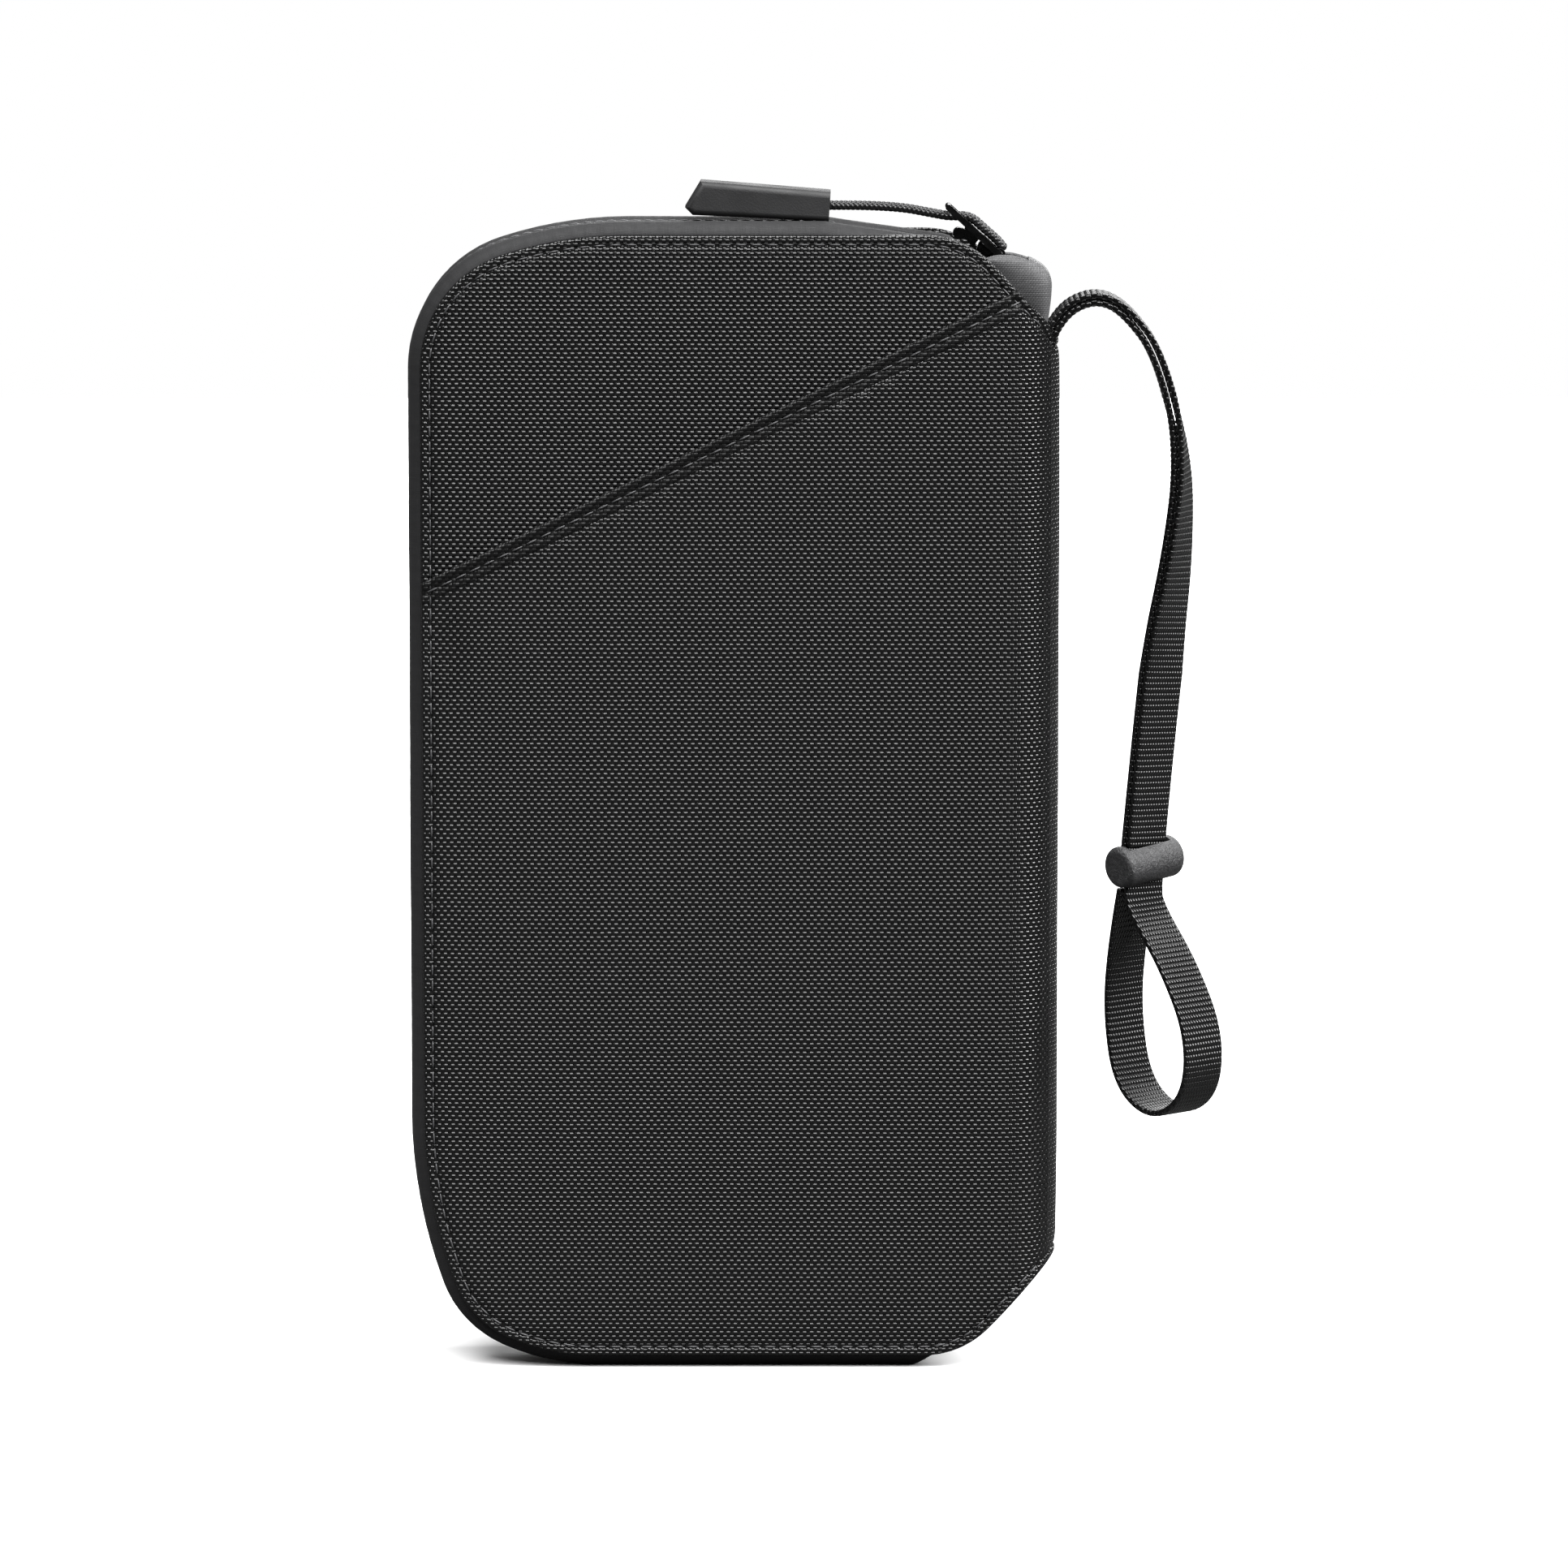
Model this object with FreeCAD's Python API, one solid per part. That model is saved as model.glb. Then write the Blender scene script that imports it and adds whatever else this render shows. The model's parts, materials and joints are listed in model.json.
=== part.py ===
"""Zip-around passport holder wallet with a wrist strap, as separate pieces, in millimetres.

Frame: X to the right with the spine at +X, Y to the back, Z up. The origin is on the base line,
under the middle of the pouch. The closed pouch stands on its lower edge at Z = 0.
"""
import FreeCAD, Part
import math
import os

Vec = FreeCAD.Vector

# ---------------------------------------------------------------- driving sizes
HALF_WIDTH = 61.0          # centre line to the left edge of the panels
SPINE_RADIUS = 11.0        # half of the pouch's depth
HINGE_X = 52.5             # where the flat covers meet the rounded spine
PANEL_TOP = 224.1
PANEL_FOOT = 2.5
CHAMFER_RADIUS = 18.0      # eases each panel's edge into the chamfer at the spine
CHAMFER_TURN = 46.0        # degrees below horizontal
CHAMFER_X = 37.4           # where that easing starts
CLOTH = 0.8                # outer nylon
FOAM = 1.5                 # cover stiffener
LINER = 0.5                # lining and inner pockets
LAYER_GAP = 0.2            # between the inner layers and the zip tape round them
SKIN_GAP = 0.15            # between cloth ends on each side of a hinge line

BAND_PROUD = 2.5           # zip band crown beyond the panel edge
BAND_VALLEY = 1.9          # the band's middle strip, where the slider runs
TAPE = 0.8                 # zip tape thickness
TAPE_GAP = 0.35            # half of the slit between the two tapes
KNEE_X = 18.0              # where the band's middle strip starts to fall to the spine
RUN_SLOPE = 16.0           # degrees, fall of that run
SHOULDER_SLOPE = 8.3       # degrees, fall of the band's shoulders beside it
BAND_END_X = 46.0          # right-hand end of both tapes
FOOT_KNEE_X = 36.0         # where the band lifts off the ground near the spine
FOOT_SLOPE = 28.0

SLIDER_X = 53.2            # slider centre when the pouch is zipped shut
SLIDER_LENGTH = 10.0
SLIDER_HALF_WIDTH = 3.6

WEB_WIDTH = 10.0
WEB_THICK = 1.2
WEB_PITCH = 1.5            # between the middles of the two doubled layers
BARREL_RADIUS = 4.2
BARREL_LENGTH = 15.0
BARREL_ROUND = 1.2         # rounding of its two ends
BARREL_SKEW = 9.0          # degrees that it sits askew on the webbing, front end down
BARREL_SHIFT = 0.9         # its middle's distance from the webbing's, towards the back
BARREL_SLOT = (11.0, 4.0)  # opening for both layers of webbing
CORD_RADIUS = 0.95


def polar(centre, radius, degrees):
    angle = math.radians(degrees)
    return (centre[0] + radius * math.cos(angle), centre[1] + radius * math.sin(angle))


def at(point, y):
    return Vec(point[0], y, point[1])


def line(start, end, y):
    return Part.LineSegment(at(start, y), at(end, y)).toShape()


def arc(centre, radius, first, last, y):
    points = [at(polar(centre, radius, a), y) for a in (first, (first + last) / 2, last)]
    return Part.Arc(*points).toShape()


def prism(points, y_low, y_high):
    """A straight-edged XZ outline, pushed along Y from y_low to y_high."""
    corners = [at(p, y_low) for p in points]
    face = Part.Face(Part.makePolygon(corners + corners[:1]))
    return face.extrude(Vec(0, y_high - y_low, 0))


def box(x0, x1, y0, y1, z0, z1):
    return Part.makeBox(x1 - x0, y1 - y0, z1 - z0, Vec(x0, y0, z0))


# ---------------------------------------------------------------- pouch outline
# The left side is a chain of tangent arcs: (radius, first angle, last angle), from the top round
# to the foot. The radii are the panel's, and an offset grows all of them together.
LEFT_TOP = ((77.5, 90, 108), (23.5, 108, 180))
LEFT_FOOT = ((97.5, 180, 200), (19.5, 200, 246), (42.5, 246, 270))


def chain_centres(chain, first_centre):
    """Centres of tangent arcs that follow each other, given the first one's centre."""
    centres = [first_centre]
    for (radius, _, turn), (following, _, _) in zip(chain, chain[1:]):
        centres.append(polar(centres[-1], radius - following, turn))
    return centres


def left_geometry():
    """Centres of the top and foot arcs, placed so that the sides meet the panel's sizes."""
    top = chain_centres(LEFT_TOP, (0.0, PANEL_TOP - LEFT_TOP[0][0]))
    shift = -HALF_WIDTH + LEFT_TOP[-1][0] - top[-1][0]
    top = [(x + shift, z) for x, z in top]
    foot = chain_centres(LEFT_FOOT, (-HALF_WIDTH + LEFT_FOOT[0][0], 0.0))
    lift = PANEL_FOOT + LEFT_FOOT[-1][0] - foot[-1][1]
    foot = [(x, z + lift) for x, z in foot]
    return top, foot


TOP_CENTRES, FOOT_CENTRES = left_geometry()
TOP_TANGENT_X = TOP_CENTRES[0][0]
FOOT_TANGENT_X = FOOT_CENTRES[-1][0]


def left_side(y, off):
    edges = []
    for centre, (radius, first, last) in zip(TOP_CENTRES, LEFT_TOP):
        edges.append(arc(centre, radius + off, first, last, y))
    side_x = -HALF_WIDTH - off
    edges.append(line((side_x, TOP_CENTRES[-1][1]), (side_x, FOOT_CENTRES[0][1]), y))
    for centre, (radius, first, last) in zip(FOOT_CENTRES, LEFT_FOOT):
        edges.append(arc(centre, radius + off, first, last, y))
    return edges


def chamfer_z(x):
    """Height of the lower chamfer line at x; the upper one mirrors it."""
    start = polar((CHAMFER_X, PANEL_FOOT + CHAMFER_RADIUS), CHAMFER_RADIUS, CHAMFER_TURN - 90)
    return start[1] + (x - start[0]) * math.tan(math.radians(CHAMFER_TURN))


def mirror_z(z):
    return PANEL_TOP + PANEL_FOOT - z


def panel_wire(y, off, right_x):
    """Outline of a cover: rounded on the left, chamfered towards the spine."""
    top_z = PANEL_TOP + off
    foot_z = PANEL_FOOT - off
    radius = CHAMFER_RADIUS + off
    upper = (CHAMFER_X, PANEL_TOP - CHAMFER_RADIUS)
    lower = (CHAMFER_X, PANEL_FOOT + CHAMFER_RADIUS)
    drop = off / math.cos(math.radians(CHAMFER_TURN))
    corner_z = chamfer_z(right_x) - drop
    rim = polar(upper, radius, 90 - CHAMFER_TURN)
    base = polar(lower, radius, CHAMFER_TURN - 90)
    edges = [
        line((right_x, mirror_z(corner_z)), rim, y),
        arc(upper, radius, 90 - CHAMFER_TURN, 90, y),
        line((CHAMFER_X, top_z), (TOP_TANGENT_X, top_z), y),
    ]
    edges += left_side(y, off)
    edges += [
        line((FOOT_TANGENT_X, foot_z), (CHAMFER_X, foot_z), y),
        arc(lower, radius, 270, 270 + CHAMFER_TURN, y),
        line(base, (right_x, corner_z), y),
        line((right_x, corner_z), (right_x, mirror_z(corner_z)), y),
    ]
    return Part.Wire(edges)


def sheet(y_low, y_high, inset=0.0, right_x=HINGE_X - 2 * SKIN_GAP):
    """A flat layer of a cover."""
    face = Part.Face(panel_wire(y_low, -inset, right_x))
    return face.extrude(Vec(0, y_high - y_low, 0))


# ---------------------------------------------------------------- covers
def strip_z(x, off, slope):
    """Top height of the band at x, level up to the knee and falling after it."""
    return PANEL_TOP + off - max(0.0, x - KNEE_X) * math.tan(math.radians(slope))


def band_wire(y, off, slope):
    """Outline of the zip band at one depth. It closes far to the right, where it is trimmed."""
    close_x = HINGE_X + 8
    knee_z = PANEL_TOP + off
    foot_z = PANEL_FOOT - off
    end_z = foot_z + (close_x - FOOT_KNEE_X) * math.tan(math.radians(FOOT_SLOPE))
    edges = [
        line((close_x, strip_z(close_x, off, slope)), (KNEE_X, knee_z), y),
        line((KNEE_X, knee_z), (TOP_TANGENT_X, knee_z), y),
    ]
    edges += left_side(y, off)
    edges += [
        line((FOOT_TANGENT_X, foot_z), (FOOT_KNEE_X, foot_z), y),
        line((FOOT_KNEE_X, foot_z), (close_x, end_z), y),
        line((close_x, end_z), (close_x, strip_z(close_x, off, slope)), y),
    ]
    return Part.Wire(edges)


def band_block(stations, shrink):
    wires = [band_wire(y, off - shrink, slope) for y, off, slope in stations]
    return Part.makeLoft(wires, True, True)


def band_stations(side, root_y):
    """Depth, offset and slope along the band's section: seam, shoulder flat, valley strip."""
    section = (
        (root_y, 0.0, SHOULDER_SLOPE + 2),
        (7.2, BAND_PROUD, SHOULDER_SLOPE),
        (5.2, BAND_PROUD, SHOULDER_SLOPE),
        (4.6, BAND_VALLEY, RUN_SLOPE),
        (TAPE_GAP, BAND_VALLEY, RUN_SLOPE),
    )
    return [(side * y, off, slope) for y, off, slope in section]


def zip_tape(side, root_y):
    stations = band_stations(side, root_y)
    outer = band_block(stations, 0.0)
    inner = band_block(stations, TAPE)
    shell = outer.cut(inner)
    return shell.cut(box(BAND_END_X, 90, -20, 20, -5, 240))


def inside_band(side, root_y, layer):
    """A cover's inner layer, cut back to the space inside its zip tape."""
    return layer.common(band_block(band_stations(side, root_y), TAPE + LAYER_GAP))


def zip_coil(side):
    """The sewn coil behind the tape's inner edge, as one bar."""
    near, far = TAPE_GAP, 2.1
    stations = [(side * near, BAND_VALLEY, RUN_SLOPE), (side * far, BAND_VALLEY, RUN_SLOPE)]
    bar = band_block(stations, TAPE).cut(band_block(stations, TAPE + 1.4))
    return bar.cut(box(BAND_END_X - 1.5, 90, -20, 20, -5, 240))


def top_stop(side):
    """The crimped clip at the end of each coil."""
    stations = [(side * TAPE_GAP, BAND_VALLEY, RUN_SLOPE), (side * 2.1, BAND_VALLEY, RUN_SLOPE)]
    bar = band_block(stations, TAPE).cut(band_block(stations, TAPE + 1.4))
    return bar.common(box(BAND_END_X - 1.4, BAND_END_X, -20, 20, 100, 240))


HEM_LEFT = (-61.4, 155.9)      # upper edge of the slip pocket, seam to seam
HEM_RIGHT = (52.7, 212.0)
HEM_WIDTH = 4.0


def below_hem(drop, y_low, y_high):
    slope = (HEM_RIGHT[1] - HEM_LEFT[1]) / (HEM_RIGHT[0] - HEM_LEFT[0])
    left_z = HEM_LEFT[1] - drop - 10 * slope
    right_z = HEM_RIGHT[1] - drop + 10 * slope
    outline = [(HEM_LEFT[0] - 10, -5), (HEM_RIGHT[0] + 10, -5)]
    outline += [(HEM_RIGHT[0] + 10, right_z), (HEM_LEFT[0] - 10, left_z)]
    return prism(outline, y_low, y_high)


FRONT = -SPINE_RADIUS
FRONT_PANEL = FRONT + CLOTH
FRONT_FOAM = FRONT_PANEL + CLOTH
FRONT_LINER = FRONT_FOAM + FOAM
FRONT_POCKETS = FRONT_LINER + LINER
BACK = SPINE_RADIUS
BACK_FOAM = BACK - CLOTH
BACK_LINER = BACK_FOAM - FOAM
BACK_POCKETS = BACK_LINER - LINER


STIFFENER_INSET = 3.0
LINING_INSET = 1.5
POCKET_INSET = 4.0
POCKET_RIGHT_X = 40.0          # inner edge of the two back pockets, clear of the pen loop
TICKET_POCKET_TOP = 186.0
PASSPORT_POCKET_TOP = 118.0
CARD_PANEL_RIGHT_X = 46.0
CARD_PANEL_TOP = 178.0
CARD_SLOT_SIDES = (-50.0, 42.0)
CARD_SLOT_FOOT = 34.0
CARD_SLOT_TOP = 148.0          # the rearmost slot's opening
CARD_SLOT_STEP = 16.0
PEN_LOOP_X = 45.3
PEN_LOOP_RADIUS = 4.3
PEN_LOOP_WALL = 0.6
PEN_LOOP_SPAN = (138.0, 164.0)


def stiffener(y_low, y_high):
    """Foam board that stops short of the seams and of the fold at the spine."""
    return sheet(y_low, y_high, STIFFENER_INSET, HINGE_X - STIFFENER_INSET - 0.5)


def slip_pocket():
    blank = sheet(FRONT, FRONT_PANEL)
    return blank.common(below_hem(HEM_WIDTH, FRONT - 1, FRONT_PANEL + 1))


def pocket_hem():
    blank = sheet(FRONT, FRONT_PANEL, 0.0, HINGE_X - 1)
    strip = below_hem(0.0, FRONT - 1, FRONT_PANEL + 1)
    strip = strip.cut(below_hem(HEM_WIDTH, FRONT - 2, FRONT_PANEL + 2))
    return blank.common(strip)


def pocket_sheet(y_low, right_x, top_z):
    """An inner pocket: one sheet sewn round three sides, open along its top edge."""
    blank = sheet(y_low, y_low + LINER, POCKET_INSET)
    return blank.common(box(-80, right_x, -20, 20, -5, top_z))


def card_slot(step):
    """One of the overlapping card slots. Each is lower and nearer the middle than the last."""
    y_low = FRONT_POCKETS + LINER * (step + 1)
    top_z = CARD_SLOT_TOP - CARD_SLOT_STEP * step
    return box(*CARD_SLOT_SIDES, y_low, y_low + LINER, CARD_SLOT_FOOT, top_z)


def pen_loop():
    """Elastic tube sewn flat on to the back lining."""
    foot, top = PEN_LOOP_SPAN
    centre = Vec(PEN_LOOP_X, BACK_POCKETS - PEN_LOOP_RADIUS, foot)
    ring = Part.makeCylinder(PEN_LOOP_RADIUS, top - foot, centre)
    return ring.cut(Part.makeCylinder(PEN_LOOP_RADIUS - PEN_LOOP_WALL, top - foot, centre))


# ---------------------------------------------------------------- spine and zip ends
def chamfered_block(y_half, inset):
    """The space between the two chamfers, right of the hinge line."""
    low = chamfer_z(HINGE_X) + inset
    tip = chamfer_z(HINGE_X + SPINE_RADIUS) + inset
    reach = HINGE_X + SPINE_RADIUS
    start_x = HINGE_X + SKIN_GAP
    outline = [(start_x, low), (reach, tip), (reach, mirror_z(tip)), (start_x, mirror_z(low))]
    return prism(outline, -y_half, y_half)


def half_tube(outer, inner, inset):
    tube = Part.makeCylinder(outer, PANEL_TOP, Vec(HINGE_X, 0, 0))
    tube = tube.cut(Part.makeCylinder(inner, PANEL_TOP, Vec(HINGE_X, 0, 0)))
    return tube.common(chamfered_block(SPINE_RADIUS + 2, inset))


STRAP_SLIT_FOOT = 202.6
STRAP_SLIT_HALF = 5.7
ANCHOR_SPAN = (194.0, 203.9)           # the strap's sewn end, from its foot to the slit
ANCHOR_X = (59.4, 61.2)
ANCHOR_ROOM = 0.8                      # left free round it in the lining
ANCHOR_LEAN = 6.0                      # degrees, top towards the pouch
# Everything from here to the right and up is cut away by the two openings below.
REACH_X, REACH_Z = 70.0, 220.0
STRAP_SLIT = box(60.6, REACH_X, -STRAP_SLIT_HALF, STRAP_SLIT_HALF, STRAP_SLIT_FOOT, REACH_Z)
ANCHOR_OPENING = box(
    ANCHOR_X[0] - ANCHOR_ROOM, REACH_X, -5.3, 5.3, ANCHOR_SPAN[0] - 1.5, REACH_Z
)


def spine_panel():
    return half_tube(SPINE_RADIUS, SPINE_RADIUS - CLOTH, 0.0).cut(STRAP_SLIT)


def spine_lining():
    tube = half_tube(SPINE_RADIUS - CLOTH, SPINE_RADIUS - CLOTH - LINER, POCKET_INSET)
    return tube.cut(ANCHOR_OPENING)


def zip_garage():
    """Folded cloth end that the slider parks in: two side walls and a closed right end."""
    outline = [(49.3, 219.4), (51.0, 219.9), (54.6, 220.0), (58.9, 218.7), (60.8, 217.6)]
    outline += [(62.0, 215.9), (62.3, 213.8), (62.1, 211.3), (61.7, 208.2), (59.0, 208.2)]
    outline += [(49.3, 216.4)]
    shell = prism(outline, -5.0, 5.0)
    room = slider_box(-SLIDER_LENGTH / 2 - 0.6, 14, -4.3, 4.3, -8, 12)
    return shell.cut(room)


def zip_end_tab():
    """Cloth tab over the tapes' lower ends, just inside the lower chamfer."""
    outline = [(46.3, 6.6), (50.6, 10.0), (58.0, 17.7), (56.2, 19.5), (49.0, 12.3), (46.3, 10.2)]
    return prism(outline, -5.0, 5.0)


# ---------------------------------------------------------------- slider, puller
RUN = math.radians(RUN_SLOPE)
ALONG = Vec(-math.cos(RUN), 0, math.sin(RUN))        # the slider's way, up the run
OUTWARD = Vec(math.sin(RUN), 0, math.cos(RUN))       # away from the tape
SLIDER = Vec(SLIDER_X, 0, strip_z(SLIDER_X, BAND_VALLEY, RUN_SLOPE))


def slider_box(s0, s1, y0, y1, n0, n1):
    """A block in the slider's own directions: s along the run, n away from the tape."""
    corners = []
    for s, n in ((s0, n0), (s1, n0), (s1, n1), (s0, n1)):
        p = SLIDER + ALONG * s + OUTWARD * n
        corners.append((p.x, p.z))
    return prism(corners, y0, y1)


SLIDER_TOP = (0.35, 1.55)          # the slider's two plates, out from the tape and in behind it
SLIDER_UNDER = (-3.7, -2.6)
SLIDER_POST = (1.4, 4.2)           # the wedge between the coils, along the run
SLIDER_POST_HALF = 0.2
PLATE_CORNER = 1.2


def slider_plate(span):
    half, wide = SLIDER_LENGTH / 2, SLIDER_HALF_WIDTH
    plate = slider_box(-half, half, -wide, wide, *span)
    corners = [e for e in plate.Edges if abs(e.tangentAt(e.FirstParameter).dot(OUTWARD)) > 0.99]
    return plate.makeFillet(PLATE_CORNER, corners)


def slider_body():
    low, high = SLIDER_UNDER[1] - 0.1, SLIDER_TOP[0] + 0.05
    post = slider_box(*SLIDER_POST, -SLIDER_POST_HALF, SLIDER_POST_HALF, low, high)
    top, under = slider_plate(SLIDER_TOP), slider_plate(SLIDER_UNDER)
    return top.fuse([under, post]).removeSplitter()


HINGE_S, HINGE_N = 2.2, 3.32                          # the puller's pin in those directions
PULLER_PIN = SLIDER + ALONG * HINGE_S + OUTWARD * HINGE_N
PIN_RADIUS = 0.5


BRIDGE_RADIUS = 1.15
BRIDGE_BORE = 0.62
BRIDGE_HALF_WIDTH = 1.3


BRIDGE_TOE = ((5.0, 2.5), (3.3, 3.3))    # the lock spring's housing beside it, far and near top


def slider_bridge():
    """The crown that holds the puller's pin down on the slider: two posts and a round arch.

    The lock spring's low housing runs on from it to the slider's end.
    """
    foot_n = SLIDER_TOP[1]
    near, far = HINGE_S - BRIDGE_RADIUS, HINGE_S + BRIDGE_RADIUS
    start = Vec(PULLER_PIN.x, -BRIDGE_HALF_WIDTH, PULLER_PIN.z)
    across = Vec(0, 1, 0)
    posts = slider_box(near, far, -BRIDGE_HALF_WIDTH, BRIDGE_HALF_WIDTH, foot_n, HINGE_N)
    arch = posts.fuse(Part.makeCylinder(BRIDGE_RADIUS, 2 * BRIDGE_HALF_WIDTH, start, across))
    near, far = HINGE_S - BRIDGE_BORE, HINGE_S + BRIDGE_BORE
    room = slider_box(near, far, -2, 2, foot_n, HINGE_N)
    bore = Part.makeCylinder(BRIDGE_BORE, 2 * BRIDGE_HALF_WIDTH, start, across)
    outline = [(far + 0.05, foot_n), (BRIDGE_TOE[0][0], foot_n), *BRIDGE_TOE, (far + 0.05, 3.3)]
    corners = [SLIDER + ALONG * s + OUTWARD * n for s, n in outline]
    toe = prism([(c.x, c.z) for c in corners], -BRIDGE_HALF_WIDTH, BRIDGE_HALF_WIDTH)
    return arch.fuse(toe).cut(room).cut(bore).removeSplitter()


PULLER_TILT = math.radians(42.7)
REACH = Vec(-math.cos(PULLER_TILT), 0, math.sin(PULLER_TILT))
LIFT = Vec(math.sin(PULLER_TILT), 0, math.cos(PULLER_TILT))
PULLER_LENGTH = 13.6       # pin to the far bar


def puller_point(t, q):
    p = PULLER_PIN + REACH * t + LIFT * q
    return (p.x, p.z)


def puller_box(t0, t1, y0, y1, q0, q1):
    corners = [puller_point(t, q) for t, q in ((t0, q0), (t1, q0), (t1, q1), (t0, q1))]
    return prism(corners, y0, y1)


def pin(t, radius, half):
    x, z = puller_point(t, 0)
    return Part.makeCylinder(radius, 2 * half, Vec(x, -half, z), Vec(0, 1, 0))


PULLER_HALF = 3.0
PULLER_HALF_THICK = 0.6
SLOT_HALF = 1.9
WEB_SPAN = (4.7, 8.5)              # solid part between the pin's slot and the cord's slot
CAM_HALF = 1.6
CAM_NOSE = (44.0, 223.8)
CAM_NOSE_RADIUS = 1.1


def puller_frame():
    """Flat drawn-out ring: pin, two rails, web and far bar, with a slot for the cord."""
    thick = PULLER_HALF_THICK
    plate = puller_box(0.0, PULLER_LENGTH, -PULLER_HALF, PULLER_HALF, -thick, thick)
    plate = plate.cut(puller_box(-1, WEB_SPAN[0], -SLOT_HALF, SLOT_HALF, -1, 1))
    plate = plate.cut(puller_box(WEB_SPAN[1], PULLER_LENGTH, -SLOT_HALF, SLOT_HALF, -1, 1))
    ends = [pin(0, PIN_RADIUS, PULLER_HALF), pin(PULLER_LENGTH, thick, PULLER_HALF)]
    return plate.fuse(ends).removeSplitter()


def puller_cam():
    """Cam under the puller's web, with the round nose that presses on the coil."""
    low = -PULLER_HALF_THICK
    web = [puller_point(8.6, low), puller_point(5.0, low), puller_point(4.9, -1.7)]
    web += [(47.6, 219.9), (46.3, 221.5), (45.0, 223.1)]
    wedge = prism(web, -CAM_HALF, CAM_HALF)
    start = at(CAM_NOSE, -CAM_HALF)
    nose = Part.makeCylinder(CAM_NOSE_RADIUS, 2 * CAM_HALF, start, Vec(0, 1, 0))
    neck = prism([(44.6, 224.8), (46.0, 224.2), (46.0, 222.6), (44.2, 223.0)], -CAM_HALF, CAM_HALF)
    return wedge.fuse([nose, neck]).cut(puller_box(-5, 20, -4, 4, low, 3)).removeSplitter()


# ---------------------------------------------------------------- cords
def fillet_route(points, name):
    """Straight runs joined by tangent arcs, each as large as 0.45 of its shorter run allows.

    Returns (point, tangent, run length so far) at the ends of every run and through every arc.
    """
    stations = [(points[0], (points[1] - points[0]).normalize())]
    radii = []
    for before, corner, after in zip(points, points[1:], points[2:]):
        way_in = (corner - before).normalize()
        way_out = (after - corner).normalize()
        turn = way_in.getAngle(way_out)
        cut = 0.45 * min(before.distanceToPoint(corner), corner.distanceToPoint(after))
        radius = cut / math.tan(turn / 2)
        radii.append(round(radius, 1))
        start = corner - way_in * cut
        axis = way_in.cross(way_out).normalize()
        centre = start + axis.cross(way_in) * radius
        steps = max(2, int(math.degrees(turn) / 12) + 1)
        for k in range(steps + 1):
            rotation = FreeCAD.Rotation(axis, math.degrees(turn) * k / steps)
            place = centre + rotation.multVec(start - centre)
            stations.append((place, rotation.multVec(way_in)))
    stations.append((points[-1], (points[-1] - points[-2]).normalize()))
    print(name, "arc radii", radii)
    return stations


def round_cord(points, radius, name):
    """A tube along straight runs and tangent arcs."""
    edges = []
    cursor = points[0]
    for before, corner, after in zip(points, points[1:], points[2:]):
        way_in = (corner - before).normalize()
        way_out = (after - corner).normalize()
        turn = way_in.getAngle(way_out)
        cut = 0.45 * min(before.distanceToPoint(corner), corner.distanceToPoint(after))
        start = corner - way_in * cut
        end = corner + way_out * cut
        bend = cut / math.tan(turn / 2)
        inward = (way_out - way_in).normalize()
        reach = math.hypot(cut, bend)
        middle = corner + inward * (reach - bend)
        edges.append(Part.LineSegment(cursor, start).toShape())
        edges.append(Part.Arc(start, middle, end).toShape())
        cursor = end
        print(name, "arc radius", round(bend, 2))
    edges.append(Part.LineSegment(cursor, points[-1]).toShape())
    path = Part.Wire(edges)
    way = (points[1] - points[0]).normalize()
    ring = Part.Wire(Part.makeCircle(radius, points[0], way))
    tube = path.makePipeShell([ring], True, False)
    print(name, "volume ratio", round(tube.Volume / (math.pi * radius ** 2 * path.Length), 4))
    return tube


def ribbon(stations, lift, name):
    """Webbing along stations of (point, tangent, twist), shifted by lift across its face."""
    sections = []
    length = 0.0
    last = None
    for place, tangent, twist in stations:
        level = Vec(0, -1, 0)
        level = (level - tangent * level.dot(tangent)).normalize()
        wide = FreeCAD.Rotation(tangent, twist).multVec(level)
        face = wide.cross(tangent).normalize()
        middle = place + face * lift
        if last is not None:
            length += middle.distanceToPoint(last)
        last = middle
        half_w = wide * (WEB_WIDTH / 2)
        half_t = face * (WEB_THICK / 2)
        corners = [middle + half_w + half_t, middle - half_w + half_t]
        corners += [middle - half_w - half_t, middle + half_w - half_t]
        sections.append(Part.makePolygon(corners + corners[:1]))
    solid = Part.makeLoft(sections, True, True)
    ratio = solid.Volume / (WEB_WIDTH * WEB_THICK * length)
    print(name, "length", round(length, 1), "volume ratio", round(ratio, 4))
    return solid


STRAP_EXIT = Vec(62.6, 0, 205.8)
LEG_TILT = 0.09                          # the doubled legs lean right by this much per unit up
BARREL_Z = 99.5
LOOP_TWIST = 48.0                        # degrees that the webbing has turned at the barrel
TWIST_END_Z = 137.0                      # fully turned below this height
TWIST_START_Z = 190.0                    # flat on to the side above it


def leg_x(z):
    return 80.4 + (z - BARREL_Z) * LEG_TILT


# Middle line of the doubled legs: out of the spine, over the top arc and down to the barrel.
LEG_ROUTE = (
    (STRAP_EXIT.x, STRAP_EXIT.z),
    (66.0, 209.9),
    (71.4, 211.6),
    (76.6, 209.0),
    (83.3, 200.2),
    (88.2, 180.5),
    (87.2, 161.0),
    (leg_x(141.0), 141.0),
    (leg_x(94.6), 94.6),
)
FLEX_RUN = (3, 4)                        # the webbing flexes on the run between these two points
FLEX_SHARE = 0.39                        # this far along it
# The open loop below it, as (across, height) in the turned webbing's own plane.
LOOP_ROUTE = (
    (0.75, 94.6),
    (1.9, 90.5),
    (11.0, 80.5),
    (18.6, 67.4),
    (17.6, 55.0),
    (8.5, 49.6),
    (-1.6, 55.0),
    (-4.6, 69.2),
    (-3.4, 83.0),
    (-0.75, 94.6),
)


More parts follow.
